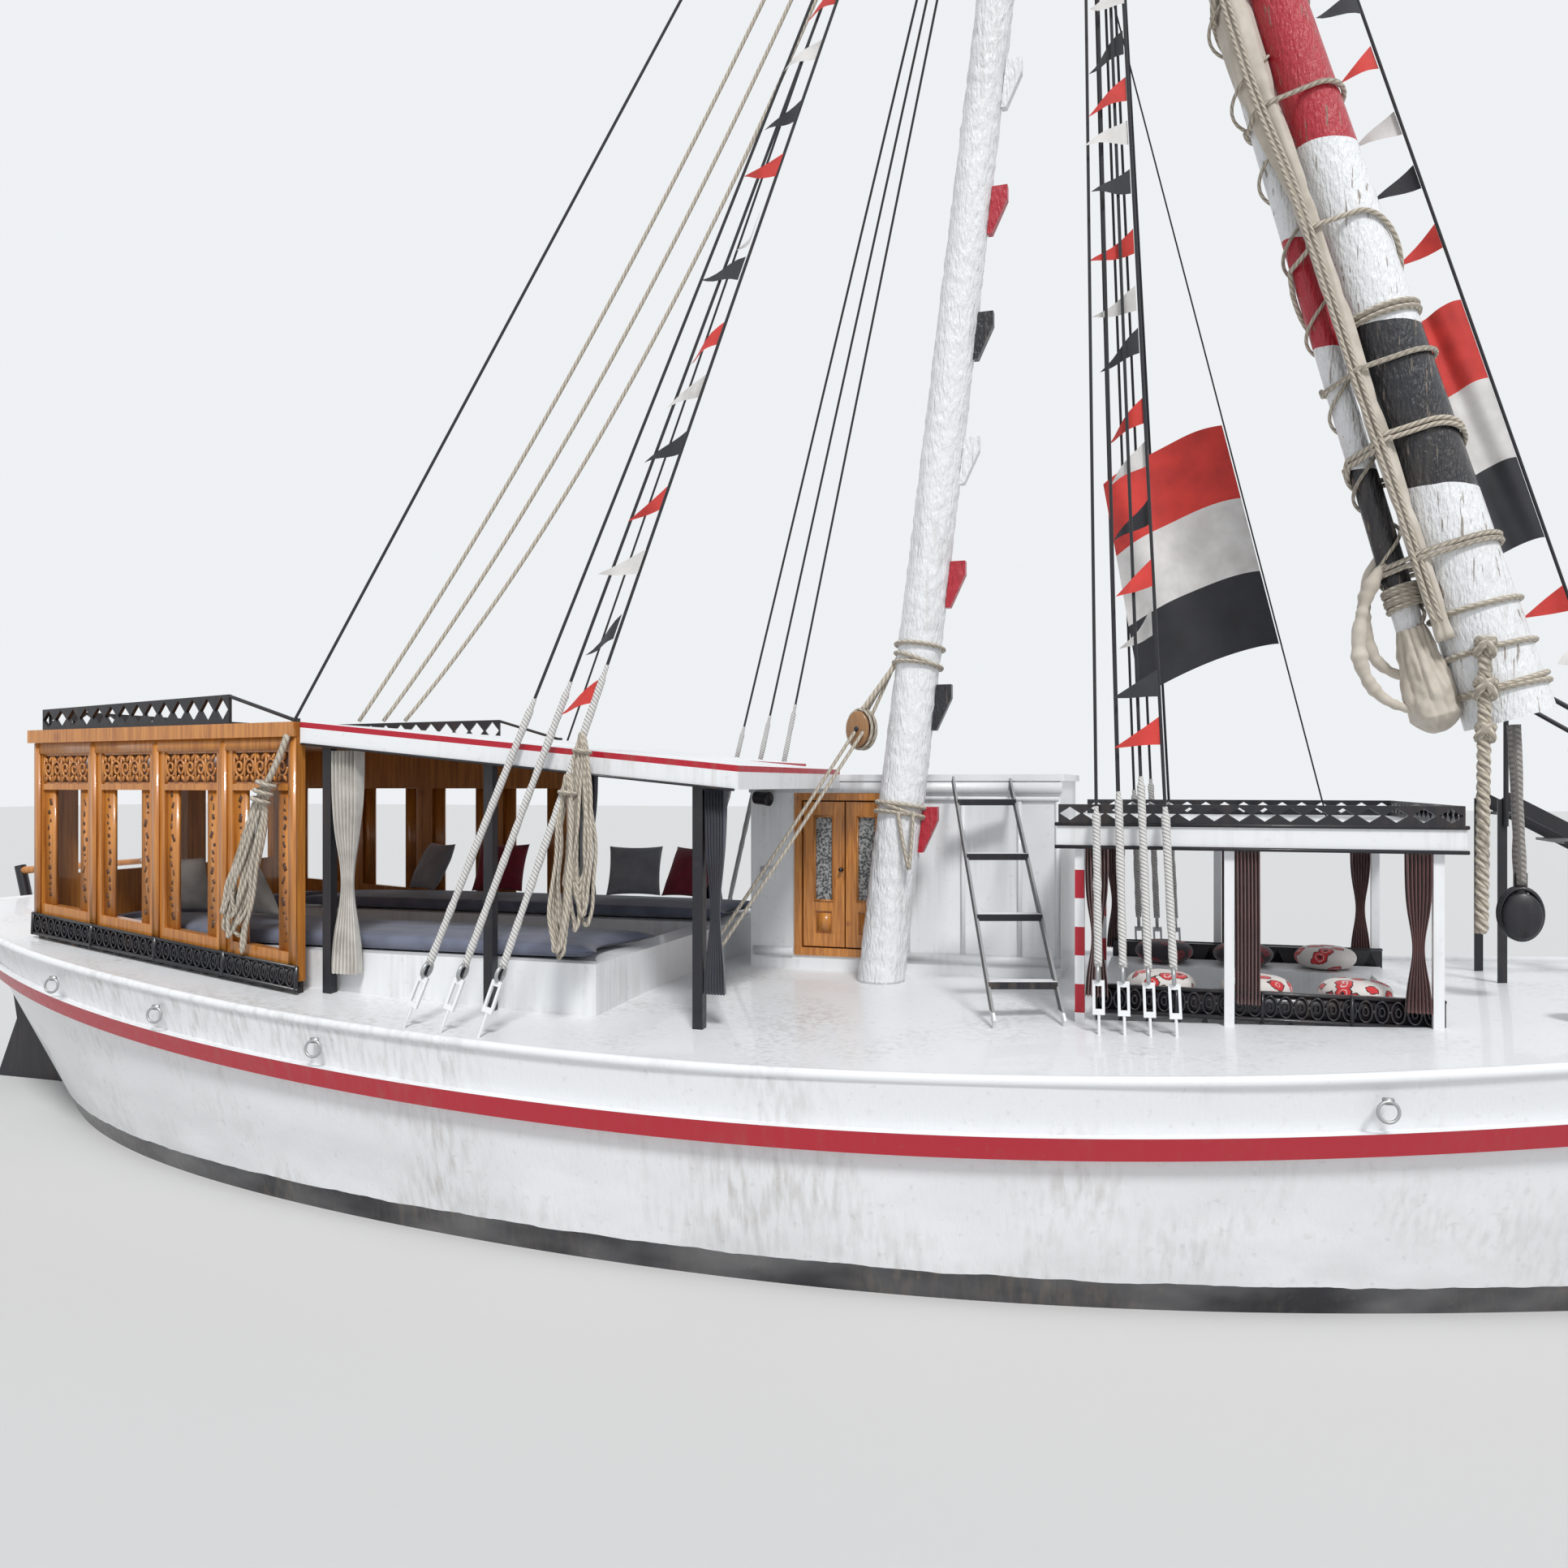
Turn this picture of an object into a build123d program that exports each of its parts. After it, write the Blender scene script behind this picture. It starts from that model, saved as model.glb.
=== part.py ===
from build123d import *
from math import cos, hypot, radians, sin
import os

# Felucca with a raked mast, a lateen yard, an aft cabin, a deckhouse and a forward canopy.
# Frame: X to the bow, Y to port, Z up, origin on the waterline amidships. Millimetres.

# Hull
SHEER_MID = 1100
SHEER_RISE = 500
HALF_LENGTH = 7000
DECK_CAMBER = 90
RAIL_DROP = 250
RAIL_HIGH = 110
RAIL_OUT = 70
FLAT_SHARE = 0.35
BILGE_OUT = 0.78
BILGE_DOWN = 0.72
KEEL_THICK = 120
KEEL_DEEP = 180
POST_THICK = 110
POST_PROUD = 200

# Stations: x at the waterline, rake of the section, half breadths at water and deck, depth
STATIONS = (
    # x, rake, water, deck, depth
    (-6550, -0.28, 90, 620, 240),
    (-5900, -0.20, 640, 1240, 400),
    (-4700, -0.08, 1330, 1790, 540),
    (-2600, 0.0, 1920, 2190, 640),
    (-100, 0.0, 2120, 2320, 680),
    (2300, 0.0, 1800, 2110, 640),
    (4300, 0.08, 1120, 1570, 540),
    (5700, 0.24, 500, 960, 400),
    (6500, 0.40, 40, 190, 240),
)

# Rudder
RUDDER_LONG = 720
RUDDER_THICK = 70
RUDDER_TOP = 1150
RUDDER_BOTTOM = -620
RUDDER_GAP = 40
RUDDER_CLEAR = 8
GUDGEON_R = 75
GUDGEONS = ((-380, -300), (560, 640), (1250, 1330))
STOCK_R = 45
TILLER_LONG = 1500
TILLER_R = 32
TILLER_TOP = 1760

# Wells and seats
WELL_FLOOR = 750
AFT_WELL = (-5000, -1200, 600)
FWD_WELL = (1850, 3350, 520)
AFT_SEAT = (-5150, -1000, 1460, 1560)
FWD_SEAT = (1750, 3450, 1300, 900)
SEAT_GAP = 0.3
MATTRESS_THICK = 110
COAMING_THICK = 40
COAMING_TOP = 1400
COAMING_IN = 150

# Aft cabin sides: plan line of the starboard side, port is its mirror
CABIN_FWD = (-2930, 1740)
CABIN_AFT = (-5540, 1300)
CABIN_THICK = 60
CABIN_TOP = 2790
CABIN_BOTTOM_FWD = 1290
CABIN_BOTTOM_AFT = 1490
BAYS = 4
STILE = 150
HEADER = 330
SILL = 170
PANEL_RECESS = 12
SKIRT_THICK = 30
CABIN_ROOF_THICK = 90
CABIN_ROOF_OVER = 40

# Aft roof
ROOF_AFT_TOP = 2880
ROOF_FWD_TOP = 2600
ROOF_THICK = 130
ROOF_HALF = 1740
ROOF_FWD_X = -60
ROOF_CLEAR = 20
ROOF_POSTS = (-2780, -1650, -330)
POST_SIDE = 60
POST_IN = 110

# Deckhouse
HOUSE = (-730, 1450, 350, 1560)
HOUSE_WALL = 45
HOUSE_TOP = 2520
HOUSE_ROOF_THICK = 45
HOUSE_ROOF_OVER = 25
HOUSE_FLOOR = 1150
HOUSE_GAP = 5
DOOR_AFT = -400
DOOR_FWD = 340
DOOR_SILL = 1290
DOOR_HEAD = 2440
DOOR_GAP = 10
FRAME_WIDE = 55
LEAF_THICK = 40
PANE = (110, 330)

# Forward canopy
CANOPY = (1560, 3560, 1100)
CANOPY_TOP = 2290
CANOPY_THICK = 140
CANOPY_POSTS = (1680, 2450, 3440)
CANOPY_POST_SIDE = 50
RAIL_RISE = 100

# Mast
MAST_FOOT_X = 300
MAST_RAKE = 0.119
MAST_BOTTOM_Z = 1100
MAST_TOP_Z = 12400
MAST_FOOT_R = 160
MAST_TOP_R = 95
STEP_FIRST = 2050
STEP_PITCH = 800
STEP_COUNT = 11
STEP_HIGH = 300
STEP_OUT = 95
STEP_WIDE = 60

# Yard, boom and sail
HEEL_X = 3900
HEEL_Z = 2850
YARD_SIDE = -420
YARD_LEAN = 15.9
YARD_LONG = 16000
YARD_HEEL_R = 225
YARD_MID_R = 140
YARD_TIP_R = 60
YARD_MID_AT = 4600
SADDLE_AT = 8200
BOOM_FROM = 450
BOOM_LONG = 5600
BOOM_R = 75
BOOM_OFF = 330
ROLL_R = 95
BAG_R = 170

# Stays: where each one stands on the deck and how far down the mast it ends
STAY_R = 9
STAY_HEAD = 12250
SHROUDS = (
    # x, y, z of the foot, drop from the head
    (-1900, 2130, 1130, 660),
    (-1650, 2150, 1130, 540),
    (-1400, 2160, 1130, 420),
    (1800, 1330, 1150, 360),
    (1930, 1330, 1150, 240),
    (2060, 1330, 1150, 120),
    (2190, 1330, 1150, 0),
)
BACKSTAY_FOOT = (-2960, 1752, 2860)
BACKSTAY_DROP = 60
FORESTAY_X = 5000
FORESTAY_RISE = 60
BUCKLE_LONG = 340
BUCKLE_WIDE = 62
BUCKLE_BAR = 14
SHANK_R = 8

# Ladder
LADDER_FOOT = (1430, -1240, 1200)
LADDER_HEAD = (930, 300, 2530)
LADDER_WIDE = 380
LADDER_BAR = (14, 60)
TREADS = 4
TREAD_DEEP = 110
TREAD_THICK = 40

# Bow stair and bollard
STAIR_TOP_X = 4050
STAIR_TOP_Z = 2450
STAIR_FOOT_X = 5750
STAIR_FOOT_Z = 1540
STAIR_MIDDLE = 560
STAIR_WIDE = 600
STAIR_BAR = 50
STRINGER_THICK = 12
STAIR_TREADS = 6
HANDRAIL_RISE = 620
HANDRAIL_R = 14
HANDRAIL_BEND = 120
BOLLARD_X = 4150
BOLLARD_Y = -900
BOLLARD_R = 45
BOLLARD_CAP_R = 85
BOLLARD_CAP_THICK = 40
BOLLARD_HIGH = 170

# Flags and curtains
HALYARD_FOOT = (3100, 600)
HALYARD_HEAD = 9500
HALYARD_R = 5
FLAG_THICK = 6
FLAG_LONG = 950
FLAG_LOW = 3400
FLAG_HIGH = 4800
BOW_FLAG_LONG = 300
BOW_FLAG_LOW = 3900
BOW_FLAG_HIGH = 5300
FLAG_DROOP = 330
BOW_FLAG_DROOP = 120
CURTAIN_WIDE = 130
WHITE_CURTAINS = ((-2780, -1, 200),)
DARK_CURTAINS = ((-2780, 1, 150), (-1650, 1, 200), (-330, -1, 130))

# Cushions of the forward well
CUSHION_R = 185
CUSHION_THICK = 150
CUSHION_X = (2100, 2600, 3100)


def sheer(x):
    return SHEER_MID + SHEER_RISE * (x / HALF_LENGTH) ** 2


def block(x0, x1, y0, y1, z0, z1):
    return Pos((x0 + x1) / 2, (y0 + y1) / 2, (z0 + z1) / 2) * Box(x1 - x0, y1 - y0, z1 - z0)


def bar(p, q, radius, end_radius=None):
    a, b = Vector(*p), Vector(*q)
    plane = Plane(origin=a, z_dir=(b - a).normalized())
    long = (b - a).length
    if end_radius is None:
        return plane * Pos(0, 0, long / 2) * Cylinder(radius, long)
    return plane * Pos(0, 0, long / 2) * Cone(radius, end_radius, long)


def both(shape):
    return [shape, mirror(shape, about=Plane.XZ)]


def save(shape, name):
    solids = shape if isinstance(shape, list) else [shape]
    flat = [s for item in solids for s in item.solids()]
    export_step(flat[0] if len(flat) == 1 else Compound(children=flat), f"parts/{name}.step")


def mast_x(z):
    return MAST_FOOT_X + MAST_RAKE * (z - MAST_BOTTOM_Z)


def mast_r(z):
    share = (z - MAST_BOTTOM_Z) / (MAST_TOP_Z - MAST_BOTTOM_Z)
    return MAST_FOOT_R + (MAST_TOP_R - MAST_FOOT_R) * share


# Hull: a loft of sections with a flat bottom, round bilges, straight topsides and a cambered deck
def station_face(x, rake, water, deck, depth):
    top = sheer(x)

    def at(y, z):
        return (x + rake * z, y, z)

    flat = FLAT_SHARE * water
    bend = (flat + BILGE_OUT * (water - flat), -BILGE_DOWN * depth)
    edges = [
        Line(at(-flat, -depth), at(flat, -depth)),
        ThreePointArc(at(flat, -depth), at(*bend), at(water, 0)),
        Line(at(water, 0), at(deck, top)),
        ThreePointArc(at(deck, top), at(0, top + DECK_CAMBER * deck / 2300), at(-deck, top)),
        Line(at(-deck, top), at(-water, 0)),
        ThreePointArc(at(-water, 0), at(-bend[0], bend[1]), at(-flat, -depth)),
    ]
    return Face(Wire(edges))


def hull_block():
    return loft([station_face(*row) for row in STATIONS])


def hull_shape(solid):
    x0, x1, half = AFT_WELL
    cut = solid - block(x0, x1, -half, half, WELL_FLOOR, 2000)
    x0, x1, half = FWD_WELL
    cut -= block(x0, x1, -half, half, WELL_FLOOR, 2000)
    x0, x1, y0, y1 = HOUSE
    wall = HOUSE_WALL + HOUSE_GAP
    cut -= block(x0 + wall, x1 - wall, y0 + wall, y1 - wall, HOUSE_FLOOR, 2000)
    return cut


def rail_band(low, high):
    end = STATIONS[-1][0] + 1500
    profile = [
        ThreePointArc((-end, 0, sheer(end) - low), (0, 0, sheer(0) - low), (end, 0, sheer(end) - low)),
        Line((end, 0, sheer(end) - low), (end, 0, sheer(end) - high)),
        ThreePointArc((end, 0, sheer(end) - high), (0, 0, sheer(0) - high), (-end, 0, sheer(end) - high)),
        Line((-end, 0, sheer(end) - high), (-end, 0, sheer(end) - low)),
    ]
    return extrude(Face(Wire(profile)), amount=3000, dir=(0, 1, 0), both=True)


def rub_rail(solid):
    wide = []
    for x, rake, water, deck, depth in STATIONS:
        end = RAIL_OUT if x > 6000 else -RAIL_OUT if x < -6000 else 0
        wide.append(station_face(x + end, rake, water + RAIL_OUT, deck + RAIL_OUT, depth))
    return (loft(wide) & rail_band(RAIL_DROP + RAIL_HIGH, RAIL_DROP)) - solid - keel(solid)


# Keel, stem and sternpost: one plate round the hull's centreline
def stem_x(z):
    x, rake = STATIONS[-1][:2]
    return x + rake * z


def stern_x(z):
    x, rake = STATIONS[0][:2]
    return x + rake * z


def side_plate(points, thick, y=0):
    outline = Polyline(*[(x, y, z) for x, z in points], close=True)
    return extrude(Face(Wire(outline.edges())), amount=thick / 2, dir=(0, 1, 0), both=True)


def keel_line():
    return [(x, -depth - KEEL_DEEP) for x, rake, water, deck, depth in STATIONS[1:-1]]


def keel(solid):
    bow, stern = sheer(HALF_LENGTH) + POST_PROUD, sheer(HALF_LENGTH) - RAIL_DROP
    low = -STATIONS[0][4] - KEEL_DEEP
    outer = [(stern_x(stern) - POST_THICK, stern), (stern_x(low) - POST_THICK, low)]
    outer += keel_line()
    outer += [(stem_x(low) + POST_THICK, low), (stem_x(bow) + POST_THICK, bow)]
    inner = [(stem_x(bow), bow), (stem_x(0) - 150, 0), (stem_x(0) - 900, -100)]
    inner += [(0, -300), (stern_x(0) + 900, -100), (stern_x(0) + 150, 0), (stern_x(stern) + 60, stern)]
    plate = side_plate(outer + inner, KEEL_THICK)
    return plate - solid


# Rudder: a blade on a raked stock, carried by gudgeons on the sternpost
def stock_x(z):
    return stern_x(z) - POST_THICK - RUDDER_GAP - STOCK_R


def stock_point(z):
    return (stock_x(z), 0, z)


def stock(radius, low, high):
    return bar(stock_point(low), stock_point(high), radius)


def rudder():
    top, low = RUDDER_TOP, RUDDER_BOTTOM
    points = [
        (stock_x(top), top),
        (stock_x(top) - 0.42 * RUDDER_LONG, top),
        (stock_x(500) - 0.5 * RUDDER_LONG, 500),
        (stock_x(0) - RUDDER_LONG, 0),
        (stock_x(low) - RUDDER_LONG, low + 60),
        (stock_x(low) - RUDDER_LONG + 60, low),
        (stock_x(low), low),
    ]
    blade = side_plate(points, RUDDER_THICK)
    for low_ring, high_ring in GUDGEONS:
        blade -= stock(GUDGEON_R + RUDDER_CLEAR, low_ring - RUDDER_CLEAR, high_ring + RUDDER_CLEAR)
    return blade + stock(STOCK_R, low, TILLER_TOP + 40)


def gudgeons(post):
    rings = []
    for low, high in GUDGEONS:
        bore = stock(STOCK_R + SEAT_GAP, low - 50, high + 50)
        arm = side_plate([
            (stock_x(low) + STOCK_R + 10, low + 10), (stern_x(low) - POST_THICK + 40, low + 10),
            (stern_x(high) - POST_THICK + 40, high - 10), (stock_x(high) + STOCK_R + 10, high - 10),
        ], 60)
        rings.append(stock(GUDGEON_R, low, high) + arm - bore - post)
    return rings


def tiller():
    start = stock_point(TILLER_TOP)
    rod = bar(start, (start[0] + TILLER_LONG, 0, TILLER_TOP + 120), TILLER_R, 0.7 * TILLER_R)
    return rod - stock(STOCK_R + SEAT_GAP, 1000, TILLER_TOP + 400)


# Lattice: a flat panel pierced by a row of diamonds between two straight edges
def lattice(plane, length, low, high, count, thick, edge=14):
    pitch = length / count

    def lerp(pair, u):
        return pair[0] + (pair[1] - pair[0]) * u / length

    outline = Polyline((0, low[0]), (length, low[1]), (length, high[1]), (0, high[0]), close=True)
    face = Face(Wire(outline.edges()))
    holes = []
    for index in range(count):
        u = (index + 0.5) * pitch
        middle = (lerp(low, u) + lerp(high, u)) / 2
        half = (lerp(high, u) - lerp(low, u)) / 2 - edge
        side = pitch / 2 - edge / 2
        hole = Polyline((u - side, middle), (u, middle + half), (u + side, middle),
                        (u, middle - half), close=True)
        holes.append(Wire(hole.edges()))
    return extrude(plane * face.make_holes(holes), amount=thick)


def wall_plane(start, end, z=0):
    along = Vector(end[0] - start[0], end[1] - start[1], 0).normalized()
    return Plane(origin=(start[0], start[1], z), x_dir=along, z_dir=along.cross(Vector(0, 0, 1)))


# Aft cabin: carved wooden sides on a lattice skirt, a back wall, a roof and its rail
def starboard(point):
    return (point[0], -point[1])


CABIN_LONG = hypot(CABIN_AFT[0] - CABIN_FWD[0], CABIN_AFT[1] - CABIN_FWD[1])


def cabin_bottom(u):
    return CABIN_BOTTOM_FWD + (CABIN_BOTTOM_AFT - CABIN_BOTTOM_FWD) * u / CABIN_LONG


def cabin_side():
    plane = wall_plane(starboard(CABIN_FWD), starboard(CABIN_AFT))
    outline = Polyline((0, CABIN_BOTTOM_FWD), (CABIN_LONG, CABIN_BOTTOM_AFT),
                       (CABIN_LONG, CABIN_TOP), (0, CABIN_TOP), close=True)
    bay = CABIN_LONG / BAYS
    windows = []
    panels = None
    for index in range(BAYS):
        u0, u1 = index * bay + STILE / 2, (index + 1) * bay - STILE / 2
        window = Polyline((u0, cabin_bottom(u0) + SILL), (u1, cabin_bottom(u1) + SILL),
                          (u1, CABIN_TOP - HEADER), (u0, CABIN_TOP - HEADER), close=True)
        windows.append(Wire(window.edges()))
        panel = Pos((u0 + u1) / 2, CABIN_TOP - HEADER / 2 - 20) * Rectangle(u1 - u0, HEADER - 120)
        panels = panel if panels is None else panels + panel
    face = Face(Wire(outline.edges())).make_holes(windows)
    wall = extrude(plane * face, amount=CABIN_THICK)
    return wall - extrude(plane * panels, amount=PANEL_RECESS)


def cabin_skirt(solid):
    plane = wall_plane(starboard(CABIN_FWD), starboard(CABIN_AFT))
    inset = plane.offset((CABIN_THICK - SKIRT_THICK) / 2)
    low = (CABIN_BOTTOM_FWD - 170, CABIN_BOTTOM_AFT - 170)
    panel = lattice(inset, CABIN_LONG, low, (CABIN_BOTTOM_FWD, CABIN_BOTTOM_AFT), 18, SKIRT_THICK)
    return panel - solid


def cabin_back(solid):
    half = CABIN_AFT[1] - CABIN_THICK - 10
    x = CABIN_AFT[0]
    wall = block(x, x + CABIN_THICK, -half, half, 1300, CABIN_TOP)
    for side in (-1, 1):
        wall -= block(x - 10, x + CABIN_THICK + 10, side * half * 0.5 - 0.32 * half,
                      side * half * 0.5 + 0.32 * half, 1850, CABIN_TOP - HEADER)
    return wall - solid


def cabin_roof():
    over = CABIN_ROOF_OVER
    fwd, aft = CABIN_FWD, CABIN_AFT
    outline = Polyline((fwd[0] - SEAT_GAP, -fwd[1] - over, CABIN_TOP), (aft[0] - over, -aft[1] - over, CABIN_TOP),
                       (aft[0] - over, aft[1] + over, CABIN_TOP), (fwd[0] - SEAT_GAP, fwd[1] + over, CABIN_TOP),
                       close=True)
    return extrude(Face(Wire(outline.edges())), amount=CABIN_ROOF_THICK, dir=(0, 0, 1))


def roof_rail():
    z = CABIN_TOP + CABIN_ROOF_THICK
    start = (CABIN_FWD[0] - 620, -CABIN_FWD[1] + 110)
    end = (CABIN_AFT[0] + 20, -CABIN_AFT[1] + 30)
    long = hypot(end[0] - start[0], end[1] - start[1])
    side = lattice(wall_plane(start, end, z), long, (0, 0), (190, 150), 14, 24)
    slope = bar((start[0], start[1] + 12, z + 178), (CABIN_FWD[0] - 60, -CABIN_FWD[1] + 60, z + 12), 12)
    back = lattice(wall_plane((end[0] + 24, end[1] + 30), (end[0] + 24, -end[1] - 30), z),
                   -2 * end[1] - 60, (0, 0), (150, 150), 12, 24)
    foot = block(CABIN_FWD[0] - 80, CABIN_FWD[0] - 40, -CABIN_FWD[1] + 45, -CABIN_FWD[1] + 75, z, z + 26)
    half = side + slope + foot
    return half + mirror(half, about=Plane.XZ) + back


# Aft roof: a sloping slab that reaches past the deckhouse on the starboard side
def aft_roof():
    x0, x1 = CABIN_FWD[0] + ROOF_CLEAR, ROOF_FWD_X
    slab = side_plate([(x0, ROOF_AFT_TOP), (x1, ROOF_FWD_TOP), (x1, ROOF_FWD_TOP - ROOF_THICK),
                       (x0, ROOF_AFT_TOP - ROOF_THICK)], 2 * ROOF_HALF)
    notch = block(HOUSE[0] - 2 * HOUSE_GAP, x1 + 10, HOUSE[2] - HOUSE_ROOF_OVER - 2 * HOUSE_GAP,
                  ROOF_HALF + 10, 2000, 3000)
    return slab - notch


def roof_height(x):
    share = (x - CABIN_FWD[0]) / (ROOF_FWD_X - CABIN_FWD[0])
    return ROOF_AFT_TOP + (ROOF_FWD_TOP - ROOF_AFT_TOP) * share - ROOF_THICK


def roof_posts(solid, roof):
    posts = []
    for side in (-1, 1):
        for x in ROOF_POSTS:
            if side > 0 and x > HOUSE[0]:
                continue
            y = side * (ROOF_HALF - POST_IN)
            half = POST_SIDE / 2
            post = block(x - half, x + half, y - half, y + half, 1000, roof_height(x) + 60)
            posts.append(post - solid - roof)
    return posts


def aft_benches(solid):
    x0, x1, top, half = AFT_SEAT
    deck = block(x0, x1, -half, half, 1000, top) & cabin_inside()
    w0, w1, inner = AFT_WELL
    deck -= block(w0, w1, -inner, inner, 900, 2000)
    return deck - solid


def cabin_inside():
    x0, y0 = CABIN_FWD[0], CABIN_FWD[1] - CABIN_THICK - 10
    x1, y1 = CABIN_AFT[0], CABIN_AFT[1] - CABIN_THICK - 10
    outline = Polyline((0, -y0, 0), (x0, -y0, 0), (x1, -y1, 0), (x1, y1, 0), (x0, y0, 0), (0, y0, 0), close=True)
    return extrude(Face(Wire(outline.edges())), amount=3000, dir=(0, 0, 1))


def aft_mattresses():
    x0, x1, top, half = AFT_SEAT
    w0, w1, inner = AFT_WELL
    z0, z1 = top + SEAT_GAP, top + MATTRESS_THICK
    sides = [block(w0 + 10, x1 - 10, s * (inner + half) / 2 - (half - inner) / 2 + 60,
                   s * (inner + half) / 2 + (half - inner) / 2 - 60, z0, z1) for s in (-1, 1)]
    sides.append(block(x0 + 20, w0 - 10, -CABIN_AFT[1], CABIN_AFT[1], z0, z1))
    return [side & cabin_inside() for side in sides]


# Deckhouse: four walls, a roof and a double door that opens inwards
def house_walls(solid):
    x0, x1, y0, y1 = HOUSE
    w = HOUSE_WALL
    near = block(x0, x1, y0, y0 + w, 1000, HOUSE_TOP)
    near -= block(DOOR_AFT, DOOR_FWD, y0 - 10, y0 + w + 10, DOOR_SILL, DOOR_HEAD)
    return {
        "deckhouse_wall_starboard": near - solid,
        "deckhouse_wall_port": block(x0, x1, y1 - w, y1, 1000, HOUSE_TOP) - solid,
        "deckhouse_wall_aft": block(x0, x0 + w, y0 + w, y1 - w, 1000, HOUSE_TOP) - solid,
        "deckhouse_wall_fwd": block(x1 - w, x1, y0 + w, y1 - w, 1000, HOUSE_TOP) - solid,
    }


def house_roof():
    x0, x1, y0, y1 = HOUSE
    over = HOUSE_ROOF_OVER
    slab = block(x0 - HOUSE_GAP, x1 + over, y0 - over, y1 + over, HOUSE_TOP, HOUSE_TOP + HOUSE_ROOF_THICK)
    return slab


HINGE_R = 8
HINGE_Y = HOUSE[2] + HOUSE_WALL + HINGE_R + SEAT_GAP
HINGE_X = (DOOR_AFT + FRAME_WIDE + DOOR_GAP / 2, DOOR_FWD - FRAME_WIDE - DOOR_GAP / 2)
HINGE_Z = (DOOR_SILL + 180, DOOR_HEAD - 220)
KNUCKLE = 60


def door_frame():
    y0 = HOUSE[2] - 15
    y1 = HOUSE[2] + HOUSE_WALL
    frame = block(DOOR_AFT, DOOR_FWD, y0, y1, DOOR_SILL, DOOR_HEAD)
    frame -= block(DOOR_AFT + FRAME_WIDE, DOOR_FWD - FRAME_WIDE, y0 - 1, y1 + 1,
                   DOOR_SILL + FRAME_WIDE, DOOR_HEAD - FRAME_WIDE)
    for x, side in zip(HINGE_X, (-1, 1)):
        for z in HINGE_Z:
            low = z - SEAT_GAP - KNUCKLE
            frame += bar((x, HINGE_Y, low), (x, HINGE_Y, z - SEAT_GAP), HINGE_R)
            reach = sorted((x, x + side * 30))
            frame += block(reach[0], reach[1], y1 - 2, HINGE_Y, low, z - SEAT_GAP)
    return frame


def door_leaf(x, side):
    edge = x - side * DOOR_GAP / 2
    middle = (DOOR_AFT + DOOR_FWD) / 2 + side * DOOR_GAP / 2
    x0, x1 = sorted((edge, middle))
    y0, y1 = HOUSE[2], HOUSE[2] + LEAF_THICK
    z0, z1 = DOOR_SILL + FRAME_WIDE + DOOR_GAP, DOOR_HEAD - FRAME_WIDE - DOOR_GAP
    leaf = block(x0, x1, y0, y1, z0, z1)
    pane = (x0 + 90, x1 - 90, z0 + PANE[1], z1 - PANE[0])
    leaf -= block(pane[0], pane[1], y0 - 1, y1 + 1, pane[2], pane[3])
    leaf -= block(pane[0], pane[1], y0 - 1, y0 + 12, z0 + 90, z0 + PANE[1] - 80)
    for z in HINGE_Z:
        leaf += bar((x, HINGE_Y, z), (x, HINGE_Y, z + KNUCKLE), HINGE_R)
        reach = sorted((x, x - side * 30))
        leaf += block(reach[0], reach[1], y1 - 2, HINGE_Y, z, z + KNUCKLE)
    glass = block(pane[0], pane[1], y0 + 16, y0 + 24, pane[2], pane[3])
    return leaf, glass


# Forward canopy: a hollow roof with a deep fascia on six posts, a lattice rail above it
def canopy_roof():
    x0, x1, half = CANOPY
    outer = block(x0, x1, -half, half, CANOPY_TOP - CANOPY_THICK, CANOPY_TOP)
    return outer - block(x0 + 30, x1 - 30, -half + 30, half - 30, CANOPY_TOP - CANOPY_THICK - 1, CANOPY_TOP - 30)


def canopy_posts(solid):
    posts = []
    half = CANOPY_POST_SIDE / 2
    y = CANOPY[2] - 30 - half
    for side in (-1, 1):
        for x in CANOPY_POSTS:
            post = block(x - half, x + half, side * y - half, side * y + half, 1000, CANOPY_TOP - 30)
            posts.append(post - solid)
    return posts


def canopy_rail():
    x0, x1, half = CANOPY
    z = CANOPY_TOP
    side = lattice(wall_plane((x0 + 10, -half + 10), (x1 - 10, -half + 10), z),
                   x1 - x0 - 20, (0, 0), (RAIL_RISE, RAIL_RISE), 16, 20)
    end = lattice(wall_plane((x1 - 30, -half + 30), (x1 - 30, half - 30), z),
                  2 * half - 60, (0, 0), (RAIL_RISE, RAIL_RISE), 16, 20)
    return side, end


def fwd_seats(solid):
    x0, x1, top, half = FWD_SEAT
    deck = block(x0, x1, -half, half, 1000, top)
    w0, w1, inner = FWD_WELL
    deck -= block(w0, w1, -inner, inner, 900, 2000)
    return deck - solid


def fwd_coaming(solid):
    x0, x1, half = CANOPY
    y = half - COAMING_IN
    low = 1080 - COAMING_TOP
    panel = lattice(wall_plane((x0 + 200, -y), (x1 - 90, -y), COAMING_TOP), x1 - x0 - 290,
                    (low, low), (0, 0), 12, COAMING_THICK)
    return [panel - solid, mirror(panel, about=Plane.XZ) - solid]


def cushions():
    top = FWD_SEAT[2] + SEAT_GAP
    y = (FWD_SEAT[3] + FWD_WELL[2]) / 2
    made = []
    for side in (-1, 1):
        for x in CUSHION_X:
            body = Pos(x, side * y, top + CUSHION_THICK / 2) * Cylinder(CUSHION_R, CUSHION_THICK)
            made.append(fillet(body.edges().filter_by(GeomType.CIRCLE), 60))
    return made


# Mast, its climbing steps, the head and the collar that the yard turns on
def mast(solid, low=MAST_BOTTOM_Z - 150):
    start = (mast_x(low), 0, low)
    end = (mast_x(MAST_TOP_Z), 0, MAST_TOP_Z)
    pole = bar(start, end, mast_r(low), mast_r(MAST_TOP_Z))
    return pole if solid is None else pole - solid


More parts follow.
